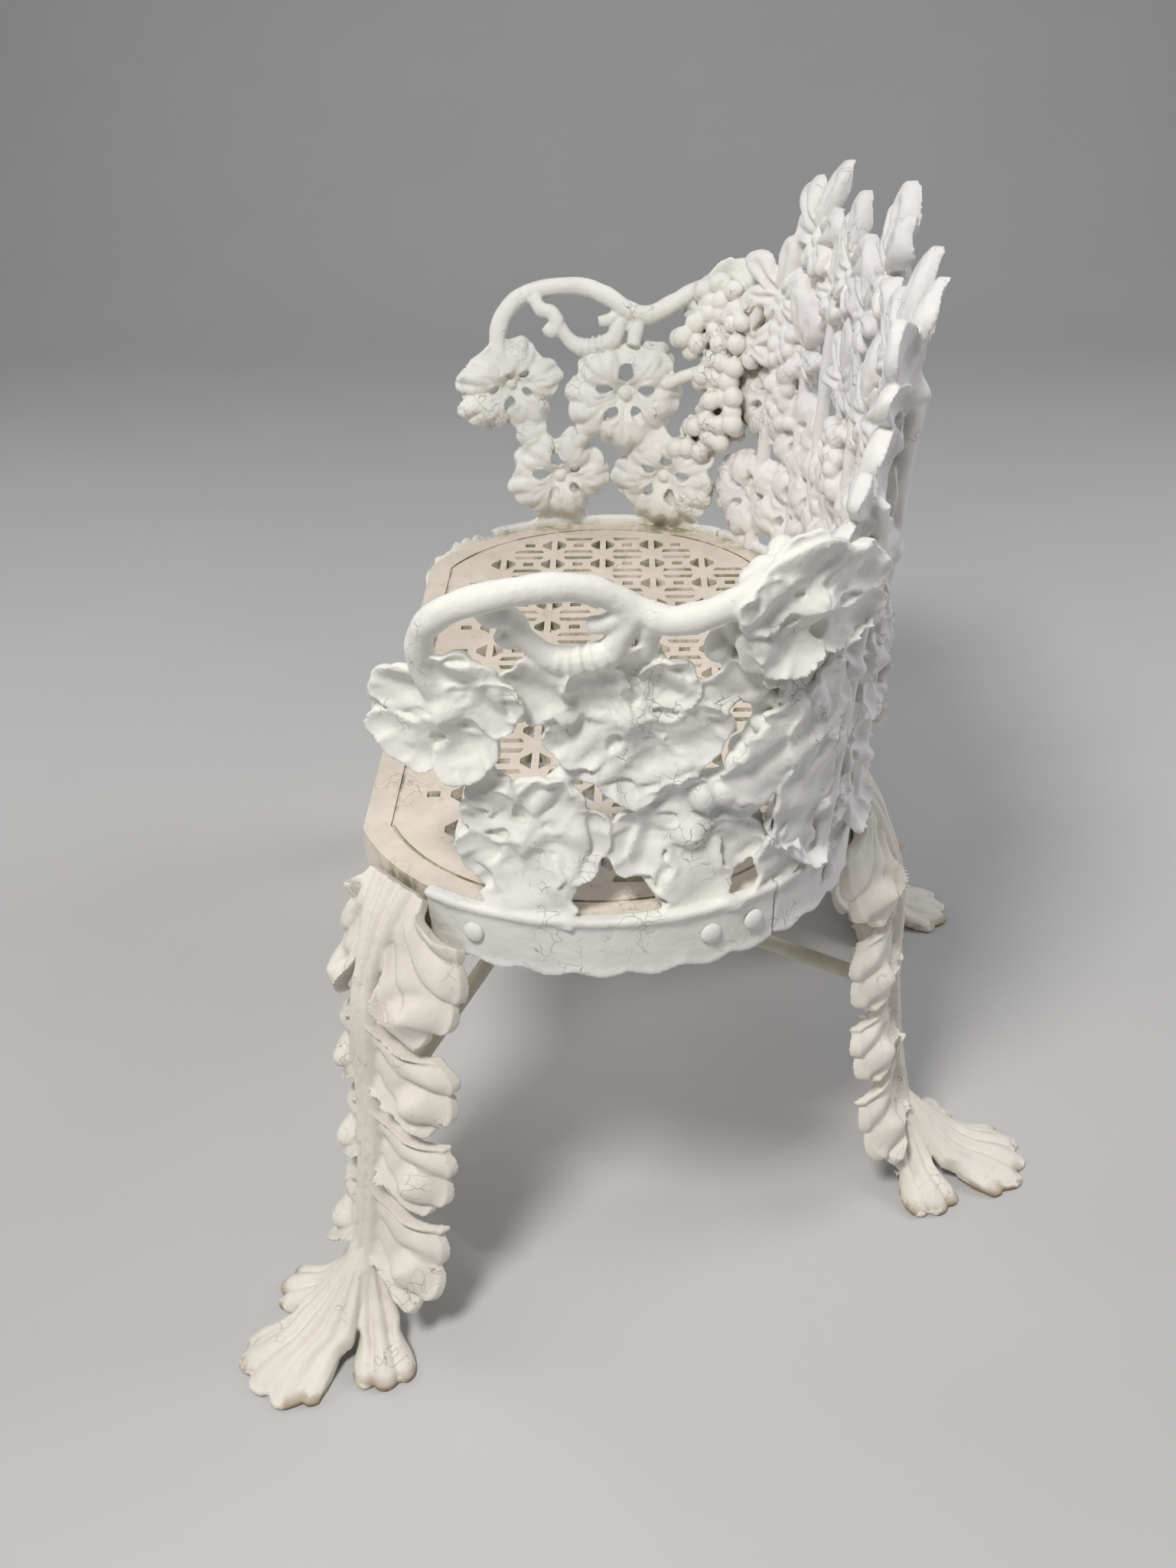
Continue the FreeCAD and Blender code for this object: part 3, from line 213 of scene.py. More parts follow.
# Ball at a leaf's heart, and the plate behind its lobes
HEART_LIFT = 4
HEART_SHARE = 0.13
PLATE_HALF_THICKNESS = 2.6
PLATE_CRUMPLE = 4.5
PLATE_EDGE_RISE = 5
ARM_STYLE = dict(
    lobes=BROAD_LOBES, width=BROAD_WIDTH,
    # Outline: half the number of round tips, fall of the corners and depth of the notches as shares
    waves=1.5, round=0.15, scallop=0.06,
    # Relief: swelling, turned-down end, raised lips beside the slits, grooves from the notches
    pillow=(8, 14), curl=7, lips=5, groove=5.5,
    # Groove along the middle: depth, width as a share, and where it fades out
    crease=2, crease_width=0.12, crease_end=(0.6, 0.85),
    # Fall of the long sides, and thinning of the tip
    edge=0, tip=0,
    # Outer side: how far it follows the relief, and the thickness
    follow=1.0, thickness=5.2,
    # Spread between lobes: tilt of the end, and direction in degrees
    tilt=(-7, 7), spin=5,
    # Plate behind the lobes: from and to these shares of the radius
    plate=(0.5, 0.8))
FINGER_STYLE = dict(
    lobes=FINGER_LOBES, width=FINGER_WIDTH, waves=0, round=0.26, scallop=0, pillow=(5, 11), curl=1, lips=3,
    groove=0, crease=4.5, crease_width=0.3, crease_end=(0.7, 0.92), edge=3.5, tip=1.4, follow=0.8,
    thickness=9.5, tilt=(-5, 9), spin=7, plate=None)
# The near arm's leaves are more solid than the others
NEAR_ARM_STYLE = dict(ARM_STYLE, plate=(0.15, 0.8), pillow=(4, 8), curl=3.5, lips=3, groove=4, tilt=(-3, 3))

# Leg: front curve in its upright plane, from the seat to the arch of the foot, as reach and height
LEG_CURVE = ((1, 405), (12, 390), (23, 368), (42, 305), (47, 200), (59, 108), (72, 60), (96, 34))
LEG_FACE = 8.6
LEG_THICKNESS = 8
LEG_SWEEP = 0.0046
LEG_SWEEP_AT_TOP = 0.2
LEG_SWEEP_RUN = 80
FRONT_LEG_ANGLE = 46
REAR_LEG_X = 181
# Lobes of the leg: where its flutes leave the rim or the spine, the tips of its edge and the middle of its
# dome, as across and height, and the depth of the flutes on its body as a share of that at its edge
LEG_LOBES = (
    (((32, 404), (21, 404), (10, 402), (14, 352)),
     ((65, 381), (71, 343), (68, 311), (48, 292), (31, 306)), (45, 318), 0.9),
    (((3, 322), (3, 288), (8, 248)),
     ((53, 277), (69, 260), (68, 224), (51, 208), (24, 230)), (45, 236), 0.5),
    (((2, 240), (3, 204), (10, 166)),
     ((58, 193), (66, 176), (65, 145), (52, 132), (26, 148)), (44, 157), 0.5),
    (((3, 160), (6, 120), (11, 80)),
     ((60, 115), (64, 94), (67, 60), (54, 46), (25, 66)), (45, 74), 0.5),
)
LEG_NOTCH = 0.12
LEG_FLUTE_DEPTH = 6
LEG_FLUTE_GROWTH = 1.5
DOME_RADIUS = 9.5
DOME_HEIGHT = 10
MOAT_DEPTH = 3
HOLLOW_DEPTH = 4
ROLL_HEIGHT = 7
LAYER_STEP = 16
EDGE_CURL = 5
SPINE_HALF_WIDTH = 12
SPINE_TOP_WIDENING = 11
SPINE_FOOT_WIDENING = 9
SPINE_RISE = 5.5
SPINE_ROUNDING = 2.5
SPINE_FLUTE_DEPTH = 6

# Line of a tie rod from the leg to the hub, and its socket boss: span along that line, radii, sides
ROD_HEIGHT = 197
SHIN_REACH = 47
HUB_FORWARD = 47
BOSS_SPAN = (-2, 25)
BOSS_RADII = (12.5, 12.8, 12.6, 12.4, 12.2, 12, 12, 12, 12, 11.5)
BOSS_SIDES = 20

# Bracket under the seat, with its web down the back of the leg
BRACKET_DROP = 52.3
BRACKET_TOP = SEAT_HEIGHT - BRACKET_DROP
BRACKET_SINK = 0.8
BRACKET_REAR = -41
BRACKET_FRONT = 26
BRACKET_HALF_WIDTH = 24.5
BRACKET_NARROWING = 16
BRACKET_THICKNESS = 7.8
WEB_SINK = 2
WEB_REACH = 30
WEB_FOOT_REACH = 34
WEB_DROP = 82
WEB_HALF_THICKNESS = 4

# Lobes of the foot: direction and half width in degrees, reach, waves of the edge, half the number of flutes
FOOT_LOBES = ((0, 31, 116, 4, 2.5), (58, 26, 80, 3, 1.5), (-58, 26, 80, 3, 1.5))
FOOT_START = 60
FOOT_HEEL = 4
FOOT_RISE = 74
FOOT_SLOPE = 7
FOOT_EDGE = 8.5
FOOT_THICKNESS = 12
FOOT_CLEARANCE = 0.8
FOOT_FLUTE_DEPTH = 5.5
FOOT_BULB = 5
FOOT_TIP_FALL = 4.5

# Fusing of the castings: voxel, smoothing steps, height of the broad lumps; then the sizes of the lumps
FAR_ARM_FUSING = (1.5, 2, 2.0)
NEAR_ARM_FUSING = (1.5, 6, 2.0)
BACK_FUSING = (1.8, 3, 2.0)
LEG_FUSING = (1.25, 2, 0.5)
BROAD_LUMP_SIZE = 30
FINE_LUMP_SIZE = 12
FINE_LUMPS = 0.8

# Paint: colours of what ages it, with dirt and algal film in hollows that are partly painted shade, and how
# far a hollow's painted shade and dirt reaches
SHADE_AND_GRIME_COLOUR = (0.46, 0.42, 0.33)
CRACK_COLOUR = (0.16, 0.14, 0.11)
CHIP_COLOUR = (0.23, 0.19, 0.14)
ALGAE_AND_SHADE_COLOUR = (0.17, 0.17, 0.06)
WORN_COLOUR = (0.30, 0.21, 0.11)
HOLLOW_REACH = 0.03
BUMP_STRENGTH = 0.6
BUMP_HEIGHT = 0.0012
# Sockets of a colour mix node
MIX_SHARE, MIX_FIRST, MIX_SECOND, MIX_RESULT = 0, 6, 7, 2

# Nodes that keep their shape
TIE_RODS = ("front_left", "front_right", "rear_left", "rear_right", "hub")
FASTENERS = ("arm_bolts", "arm_nuts", "back_bolts", "back_nuts", "rail_bolts", "rail_nuts", "leg_bolts",
             "leg_washers")

# Stage
FLOOR_HALF = 6.0
BACKDROP_X = -2.6
BACKDROP_BEND = 1.2
BACKDROP_HEIGHT = 4.0
BACKDROP_STEPS = 12
FLOOR_COLOURS = ((0.54, 0.54, 0.545), (0.58, 0.58, 0.58))
FLOOR_ROUGHNESS = 0.9
SKY_COLOUR = (0.8, 0.8, 0.8, 1)
SKY_STRENGTH = 0.22
# Camera, a little behind the middle of the seat's end
CAMERA_SENSOR = 36
CAMERA_LENS = 35.61
CAMERA_BEHIND_MIDDLE = 19
CAMERA_PLACE = (1.270, (CAMERA_BEHIND_MIDDLE + MIDDLE_Y) * MM, 1.0415)
CAMERA_FORWARD = (-0.8608, -0.0219, -0.5085)
CAMERA_RIGHT = (-0.0154, 0.9997, -0.017)


def ramp(value, low, high):
    """Smooth step from 0 at the low value to 1 at the high one."""
    share = np.clip((value - low) / (high - low), 0, 1)
    return share * share * (3 - 2 * share)


def bell(value, middle, width):
    """Smooth hump, 1 at its middle."""
    return np.exp(-((value - middle) / width) ** 2)


def grid(rows, columns):
    """Row value and column value at each point of a grid."""
    return np.meshgrid(rows, columns, indexing="ij")


def wall_flare(rise):
    """How far the back's wall curves outwards towards its top."""
    return WALL_FLARE * (np.maximum(rise, 0) / FLARE_HEIGHT) ** 4


def back_wall(along, rise, lift):
    """Points on the back's bowed wall, lifted outwards."""
    reach = np.abs(along)
    on_rear = reach <= REAR_HALF_LENGTH
    angle = np.where(on_rear, reach / REAR_RADIUS, REAR_TURN + (reach - REAR_HALF_LENGTH) / END_RADIUS)
    corner = np.clip((reach - REAR_HALF_LENGTH) / SEAM_REACH, 0, 1) * CORNER_FLARE * rise / FLARE_HEIGHT
    offset = FIT_GAP + APRON_THICKNESS / 2 + WALL_LEAN * rise + wall_flare(rise) + corner + lift
    radius = np.where(on_rear, REAR_RADIUS, END_RADIUS) + offset
    x = np.where(on_rear, 0, END_CENTRE) + radius * np.sin(angle)
    y = np.where(on_rear, REAR_CENTRE, 0) + radius * np.cos(angle)
    return np.stack([np.where(along < 0, -x, x), y, SEAT_HEIGHT + rise], axis=-1)


def arm_line(forward, rise):
    """How far the arm's middle lies from the middle of the bench.

    It is bowed as the seat below and squarer above, leans in between, and runs straight past its corners.
    """
    low = np.minimum(rise, ARM_FLAT_HEIGHT)
    radius = END_RADIUS + FIT_GAP + APRON_THICKNESS / 2 + WALL_LEAN * low
    reach = np.minimum(np.abs(forward), ARM_CORNER_REACH)
    bowed = np.sqrt(radius ** 2 - reach ** 2)
    bend = (reach / ARM_SQUARE_DEPTH) ** ARM_SQUARE_POWER
    square = radius * (1 - bend) ** (1 / ARM_SQUARE_POWER)
    share = ramp(rise, 0, ARM_FLAT_HEIGHT)
    lean = ARM_LEAN * np.sin(math.pi * np.clip(rise / ARM_HEIGHT, 0, 1))
    turned = ARM_CORNER_SLOPE * (np.abs(forward) - reach)
    return END_CENTRE + bowed + (square - bowed) * share - lean - turned


def arm_wall(forward, rise, lift):
    """Points on the arm's wall at the +X end, lifted outwards."""
    step = 1.0
    slope = (arm_line(forward + step, rise) - arm_line(forward - step, rise)) / (2 * step)
    length = np.sqrt(1 + slope ** 2)
    x = arm_line(forward, rise) + lift / length
    y = -forward + lift * slope / length
    return np.stack([x, y, SEAT_HEIGHT + rise + 0 * forward], axis=-1)


def wall_point(wall, along, rise, lift):
    """One point on a wall."""
    return wall(np.array(float(along)), np.array(float(rise)), np.array(float(lift)))


def along_of(reach):
    """Distance along the seat's edge of the place on the end that lies this far towards the back."""
    return REAR_HALF_LENGTH + (math.acos(reach / END_RADIUS) - REAR_TURN) * END_RADIUS


class Casting:
    """Closed shells that are fused into one cast piece."""

    def __init__(self):
        self.points = []
        self.faces = []
        self.count = 0

    def add(self, points, faces):
        points = np.asarray(points, float).reshape(-1, 3)
        self.points.append(points)
        self.faces += [tuple(corner + self.count for corner in face) for face in faces]
        self.count += len(points)

    def sheet(self, front, back):
        """Shell between two grids of points."""
        rows, columns = front.shape[:2]
        other = rows * columns
        faces = []
        for row in range(rows - 1):
            for column in range(columns - 1):
                corner = row * columns + column
                quad = (corner, corner + 1, corner + columns + 1, corner + columns)
                faces.append(quad)
                faces.append(tuple(other + index for index in reversed(quad)))
        border = list(range(columns))
        border += [row * columns + columns - 1 for row in range(1, rows)]
        border += [(rows - 1) * columns + column for column in range(columns - 2, -1, -1)]
        border += [row * columns for row in range(rows - 2, 0, -1)]
        for first, second in zip(border, border[1:] + border[:1]):
            faces.append((second, first, other + first, other + second))
        self.add(np.concatenate([front.reshape(-1, 3), back.reshape(-1, 3)]), faces)

    def wall_sheet(self, wall, along, rise, lift, other_lift):
        """Shell along a wall, between two distances from it."""
        self.sheet(wall(along, rise, lift), wall(along, rise, other_lift))

    def tube(self, path, radii, sides=12):
        """Round bar along a path of close points."""
        path = np.asarray(path, float)
        rings = []
        side = np.array([0.0, 0.0, 1.0])
        headings = np.gradient(path, axis=0)
        for point, heading, radius in zip(path, headings, radii):
            heading = heading / np.linalg.norm(heading)
            side = side - heading * side.dot(heading)
            if np.linalg.norm(side) < 1e-3:
                side = np.cross(heading, [1.0, 0.0, 0.0])
            side = side / np.linalg.norm(side)
            other = np.cross(heading, side)
            for turn in np.linspace(0, 2 * math.pi, sides, endpoint=False):
                rings.append(point + radius * (side * math.cos(turn) + other * math.sin(turn)))
        faces = []
        for ring in range(len(path) - 1):
            for corner in range(sides):
                following = (corner + 1) % sides
                faces.append((ring * sides + corner, ring * sides + following,
                              (ring + 1) * sides + following, (ring + 1) * sides + corner))
        faces.append(tuple(range(sides - 1, -1, -1)))
        faces.append(tuple((len(path) - 1) * sides + corner for corner in range(sides)))
        self.add(rings, faces)

    def ball(self, centre, radius):
        """Round ball, such as a grape."""
        self.add(BALL_POINTS * radius + np.asarray(centre), BALL_FACES)

    def fuse(self, name, voxel, smoothing, lumps):
        """One closed mesh with softened edges and a slightly lumpy surface."""
        mesh = bpy.data.meshes.new(name + "_shells")
        points = np.concatenate(self.points) + np.array([0, MIDDLE_Y, 0])
        mesh.from_pydata((points * MM).tolist(), [], self.faces)
        shells = bpy.data.objects.new(name + "_shells", mesh)
        bpy.context.scene.collection.objects.link(shells)
        remesh = shells.modifiers.new("fused", "REMESH")
        remesh.mode = "VOXEL"
        remesh.voxel_size = voxel * MM
        smooth = shells.modifiers.new("soft", "SMOOTH")
        smooth.factor = 0.5
        smooth.iterations = smoothing
        for size, height in ((BROAD_LUMP_SIZE, lumps), (FINE_LUMP_SIZE, FINE_LUMPS)):
            texture = bpy.data.textures.new(name + "_lumps", "CLOUDS")
            texture.noise_scale = size * MM
            texture.noise_depth = 2
            displace = shells.modifiers.new("lumps", "DISPLACE")
            displace.texture = texture
            displace.texture_coords = "LOCAL"
            displace.strength = height * MM
        fused = bpy.data.meshes.new_from_object(shells.evaluated_get(bpy.context.evaluated_depsgraph_get()))
        fused.name = name
        bpy.data.objects.remove(shells)
        fused.polygons.foreach_set("use_smooth", [True] * len(fused.polygons))
        return fused


def unit_ball():
    """Corners and faces of a round ball."""
    ball = bmesh.new()
    bmesh.ops.create_icosphere(ball, subdivisions=2, radius=1)
    points = np.array([corner.co[:] for corner in ball.verts])
    faces = [tuple(corner.index for corner in face.verts) for face in ball.faces]
    ball.free()
    return points, faces


BALL_POINTS, BALL_FACES = unit_ball()


def smooth_rows(rows, steps=8):
    """Rows of a table, with rows between them on a smooth curve through them."""
    rows = np.asarray(rows, float)
    ends = np.concatenate([[2 * rows[0] - rows[1]], rows, [2 * rows[-1] - rows[-2]]])
    out = []
    for number in range(1, len(ends) - 2):
        before, start, end, after = ends[number - 1:number + 3]
        for share in np.linspace(0, 1, steps, endpoint=False):
            out.append(0.5 * (2 * start + (end - before) * share
                              + (2 * before - 5 * start + 4 * end - after) * share ** 2
                              + (3 * start - before - 3 * end + after) * share ** 3))
    out.append(rows[-1])
    return np.array(out)


def wall_tube(casting, wall, table, knots):
    """Branch on a wall, with slight swellings."""
    rows = smooth_rows(table)
    swell = 1 + knots * np.sin(np.arange(len(rows)) * 0.9 + RANDOM.uniform(*PHASES))
    casting.tube(wall(rows[:, 0], rows[:, 1], rows[:, 2]), rows[:, 3] * swell)


def leaf_lobe(radius, half, length, style):
    """One lobe of a vine leaf round its own axis: angles, distances, front heights and back heights.

    On its grid r runs from the leaf's middle to the lobe's end, and u from side to side.
    """
    r, u = grid(np.linspace(0.03, 1, 30), np.linspace(-1, 1, 31))
    shares, widths = zip(*style["width"])
    angle = u * math.radians(half) * np.interp(r, shares, widths)
    waves = np.abs(np.cos(style["waves"] * math.pi * (u + RANDOM.uniform(-0.12, 0.12))))
    wobble = 0.05 * np.sin(3.1 * u + RANDOM.uniform(*PHASES))
    corners = style["round"] * np.abs(u) ** 2.6
    notches = style["scallop"] * (1 - waves ** 0.8)
    outline = length * (1 + wobble - corners - notches)
    distance = r * radius * outline
    scale = radius / LEAF_RADIUS
    pillow = np.sin(math.pi * np.clip((r - 0.1) / 0.98, 0, 1)) * (0.4 + 0.6 * np.cos(u * math.pi * 0.55))
    swing = RANDOM.uniform(1.0, 3.2) * np.sin(2.4 * u + RANDOM.uniform(*PHASES)) * r ** 2
    swell = RANDOM.uniform(*style["pillow"])
    curl = style["curl"] * ramp(r, 0.7, 1.02) ** 1.5
    broad = -LEAF_HOLLOW * bell(r, 0, 0.2) + swell * pillow - curl + swing
    lips = style["lips"] * bell(np.abs(u), 0.86, 0.24) * bell(r, 0.46, 0.17)
    grooves = -style["groove"] * (1 - waves ** 0.7) * ramp(r, 0.56, 0.95) * (np.abs(u) < 0.85)
    crease_fade = 1 - ramp(r, *style["crease_end"])
    vein = -style["crease"] * bell(u, 0, style["crease_width"]) * ramp(r, 0.12, 0.3) * crease_fade
    sides = style["edge"] * u ** 4 * ramp(r, 0.3, 0.6)
    front = scale * (broad + lips + grooves + vein - sides)
    back = scale * (style["follow"] * broad + 0.2 * grooves) - style["thickness"]
    back = np.minimum(back, front - LEAF_EDGE)
    tip = style["tip"] * ramp(r, 0.82, 1.0) ** 2
    return angle, distance, front - tip, back + 0.7 * tip


def crumple(along, rise):
    """Smooth hollows and swellings of the castings' outer side, from -1 to 1."""
    return np.sin(along / 8.5 + 2 * np.sin(rise / 19)) * np.sin(rise / 9.5 + 1.7 * np.sin(along / 23))


def add_leaf(casting, wall, place, style):
    """Vine leaf laid on a wall, its front towards the seat."""
    along, rise, radius, turn, lift = place
    lean = RANDOM.uniform(-LEAF_LEAN, LEAF_LEAN, 2)
    roll = math.radians(turn)
    for direction, half, length in style["lobes"]:
        stretched = length * RANDOM.uniform(*LOBE_STRETCH)
        angle, distance, front, back = leaf_lobe(radius, half, stretched, style)
        heading = angle + math.radians(direction + RANDOM.uniform(-style["spin"], style["spin"]))
        tilt = RANDOM.uniform(*style["tilt"]) * (distance / radius) ** 2
        across = distance * np.sin(heading)
        up = distance * np.cos(heading)
        twist = RANDOM.uniform(-LOBE_TWIST, LOBE_TWIST) * angle
        tilt = tilt + twist + (lean[0] * across + lean[1] * up) / radius
        sideways = along + across * math.cos(roll) + up * math.sin(roll)
        upwards = rise - across * math.sin(roll) + up * math.cos(roll)
        outer = lift - back - tilt + LEAF_CRUMPLE * (1 + crumple(sideways, upwards))
        casting.wall_sheet(wall, sideways, upwards, lift - front - tilt, outer)
    casting.ball(wall_point(wall, along, rise, lift + HEART_LIFT), HEART_SHARE * radius)
    if style["plate"]:
        add_plate(casting, wall, place, *style["plate"])


def add_plate(casting, wall, place, start, reach):
    """Crumpled iron that joins a leaf's lobes on the outer side."""
    along, rise, radius, _, lift = place
    r, angle = grid(np.linspace(start, reach, 14), np.linspace(0, 2 * math.pi, 49))
    phase = RANDOM.uniform(*PHASES)
    distance = r * radius * (1 + 0.1 * np.sin(3 * angle + phase) + 0.06 * np.sin(7 * angle + 2 * phase))
    sideways = along + distance * np.sin(angle)
    upwards = rise + distance * np.cos(angle)
    raised = PLATE_EDGE_RISE * ramp(r, 0.6 * reach, reach)
    middle = lift - 1 + PLATE_CRUMPLE * crumple(sideways, upwards) + raised
    casting.wall_sheet(wall, sideways, upwards, middle - PLATE_HALF_THICKNESS, middle + PLATE_HALF_THICKNESS)


def add_strip(casting, wall, table):
    """Crumpled sheet of thin iron along a line on a wall, with wavy edges."""
    rows = smooth_rows(table, steps=9)
    heading = np.gradient(rows[:, :2], axis=0)
    heading = heading / np.linalg.norm(heading, axis=1)[:, None]
    t, u = grid(np.arange(len(rows)), np.linspace(-1, 1, 17))
    phase = RANDOM.uniform(*PHASES, size=3)
    half = rows[t, 3] * (1 + 0.14 * np.sin(0.8 * t + phase[0]) + 0.08 * np.sin(1.7 * t + phase[1] + 2 * u))
    along = rows[t, 0] + heading[t, 1] * u * half
    rise = rows[t, 1] - heading[t, 0] * u * half
    lift = rows[t, 2] + STRIP_CRUMPLE * crumple(along, rise) + STRIP_EDGE_RISE * ramp(np.abs(u), 0.5, 1)
    casting.wall_sheet(wall, along, rise, lift - STRIP_HALF_THICKNESS, lift + STRIP_HALF_THICKNESS)


def add_apron(casting, start, stop, scallops):
    """Upright band outside the seat's rim with a bead along its top and a scalloped lower edge."""
    columns = int((stop - start) / APRON_STEP)
    t, h = grid(np.linspace(0, 1, columns), np.linspace(0, 1, 22))
    along = start + t * (stop - start)
    low = -APRON_DROP - SCALLOP_DEPTH * np.abs(np.sin(math.pi * scallops * t))
    rise = low + h * (APRON_LIP - low)
    bead = BEAD_HEIGHT * bell(rise, APRON_LIP - BEAD_BELOW_LIP, BEAD_WIDTH) + HEM_HEIGHT * bell(h, 0.04, 0.08)
    lean = WALL_LEAN * rise
    outer = APRON_THICKNESS / 2 + bead - lean - wall_flare(rise)
    inner = -APRON_THICKNESS / 2 - lean - wall_flare(rise)
    casting.wall_sheet(back_wall, along, rise, outer, inner)


def add_tendril(casting):
    """Thick tendril under the arm's rail, ribbed where it curls back."""
    rows = smooth_rows(ARM_TENDRIL)
    steps = np.arange(len(rows))
    ribs = 1 + TENDRIL_RIBS * np.sin(steps * 1.6) * bell(steps, 30, 9)
    casting.tube(arm_wall(rows[:, 0], rows[:, 1], rows[:, 2]), rows[:, 3] * ribs)


def add_arm_grapes(casting):
    """Grapes on the arm's inner side, in two layers."""
    for forward, rise in ARM_GRAPES:
        lift = RANDOM.uniform(*ARM_GRAPE_LIFT)
        casting.ball(wall_point(arm_wall, forward, rise, lift), RANDOM.uniform(*ARM_GRAPE_RADIUS))
        under_forward = forward + RANDOM.uniform(*UNDER_GRAPE_FORWARD)
        under_rise = rise + RANDOM.uniform(*UNDER_GRAPE_RISE)
        casting.ball(wall_point(arm_wall, under_forward, under_rise, UNDER_GRAPE_LIFT), UNDER_GRAPE_RADIUS)


def make_arm(name, style, strips, fusing):
    """Arm at the +X end: apron, leaves with sheets between them, branch rail, curled tendril, grapes."""
    arm = Casting()
    add_apron(arm, along_of(SEAM_REACH - SEAM_GAP), along_of(-ARM_FRONT_REACH), ARM_SCALLOPS)
    for place in ARM_LEAVES:
        add_leaf(arm, arm_wall, place, style)
    for table in strips:
        add_strip(arm, arm_wall, table)
    for table in (ARM_RAIL, ARM_BRANCH, ARM_SPUR, ARM_CURL) + ARM_STALKS:
        wall_tube(arm, arm_wall, table, ARM_KNOTS)
    add_tendril(arm)
    add_arm_grapes(arm)
    return arm.fuse(name, *fusing)


def add_back_leaf(casting, place, sign):
    """Leaf of the back at a place or, with sign -1, at its mirror image: finger lobes above, broad below."""
    along, rise, radius, turn, lift = place
    style = FINGER_STYLE if rise > FINGER_ROW_HEIGHT else ARM_STYLE
    add_leaf(casting, back_wall, (sign * along, rise, radius, sign * turn, lift), style)


def add_bunch(casting, table, sign):
    """Bunch of grapes on the back, three abreast along its middle line."""
    for along, rise in smooth_rows(table, steps=3):
        for step in (-1, 0, 1):
            place = sign * (along + step * BUNCH_STEP + RANDOM.uniform(*BUNCH_ALONG_SHIFT))
            height = rise + RANDOM.uniform(*BUNCH_RISE_SHIFT)
            lift = RANDOM.uniform(*BUNCH_GRAPE_LIFT)
            casting.ball(wall_point(back_wall, place, height, lift), RANDOM.uniform(*BUNCH_GRAPE_RADIUS))


def make_back():
    """Back: apron, rows of vine leaves, stems and bunches of grapes, laid out alike on both sides."""
    back = Casting()
    seam = along_of(SEAM_REACH)
    add_apron(back, -seam, seam, BACK_SCALLOPS)
    for place in BACK_MIDDLE_LEAVES:
        add_back_leaf(back, place, 1)
    for sign in (1, -1):
        for place in BACK_SIDE_LEAVES:
            add_back_leaf(back, place, sign)
        for table in BACK_STEMS:
            wall_tube(back, back_wall, [(sign * row[0],) + row[1:] for row in table], BRANCH_KNOTS)
        for table in BACK_BUNCHES:
            add_bunch(back, table, sign)
    return back.fuse("back_casting", *BACK_FUSING)


def leg_line():
    """Close points along the front of a leg, with the distance run and the way outwards at each."""
    points = smooth_rows(LEG_CURVE, steps=16)
    steps = np.linalg.norm(np.diff(points, axis=0), axis=1)
    run = np.concatenate([[0], np.cumsum(steps)])
    heading = np.gradient(points, axis=0)
    heading = heading / np.linalg.norm(heading, axis=1)[:, None]
    return points, run, np.stack([-heading[:, 1], heading[:, 0]], axis=1)


LEG_POINTS, LEG_RUN, LEG_OUT = leg_line()


def on_leg(run, across, out):
    """Points of a leg in its own frame, from the distance down its front, across it and outwards."""
    run = np.clip(run, 0, LEG_RUN[-1])
    reach = np.interp(run, LEG_RUN, LEG_POINTS[:, 0])
    height = np.interp(run, LEG_RUN, LEG_POINTS[:, 1])
    out_x = np.interp(run, LEG_RUN, LEG_OUT[:, 0])
    out_z = np.interp(run, LEG_RUN, LEG_OUT[:, 1])
    sweep_share = LEG_SWEEP_AT_TOP + (1 - LEG_SWEEP_AT_TOP) * ramp(run, 0, LEG_SWEEP_RUN)
    swept = -LEG_SWEEP * across ** 2 * sweep_share
    return np.stack([reach + out_x * out + swept, across, height + out_z * out], axis=-1)


def run_at(height):
    """Distance down a leg's front at a height."""
    return np.interp(-height, -LEG_POINTS[:, 1], LEG_RUN)


def along_table(table, share):
    """Smooth curve through a table's rows, at shares of its rows."""
    rows = smooth_rows(table, steps=6)
    places = np.linspace(0, 1, len(rows))
    return np.interp(share, places, rows[:, 0]), np.interp(share, places, rows[:, 1])


def leg_lobe_plan(starts, edge, v, q, ridges):
    """Across and height of a leg lobe's grid, whose lines bend out from the spine to the notched edge."""
    start_across, start_height = along_table(starts, v)
    edge_across, edge_height = along_table(edge, v)
    notch = LEG_NOTCH * (1 - ridges ** 0.6) * (1 - ramp(v, 0.82, 0.9))
    edge_across = edge_across + notch * (start_across - edge_across)
    edge_height = edge_height + notch * (start_height - edge_height)
    bend_across = start_across + 0.12 * (edge_across - start_across)
    bend_height = start_height + (0.85 - 0.35 * v) * (edge_height - start_height)
    across = (1 - q) ** 2 * start_across + 2 * q * (1 - q) * bend_across + q ** 2 * edge_across
    height = (1 - q) ** 2 * start_height + 2 * q * (1 - q) * bend_height + q ** 2 * edge_height
    return across, height


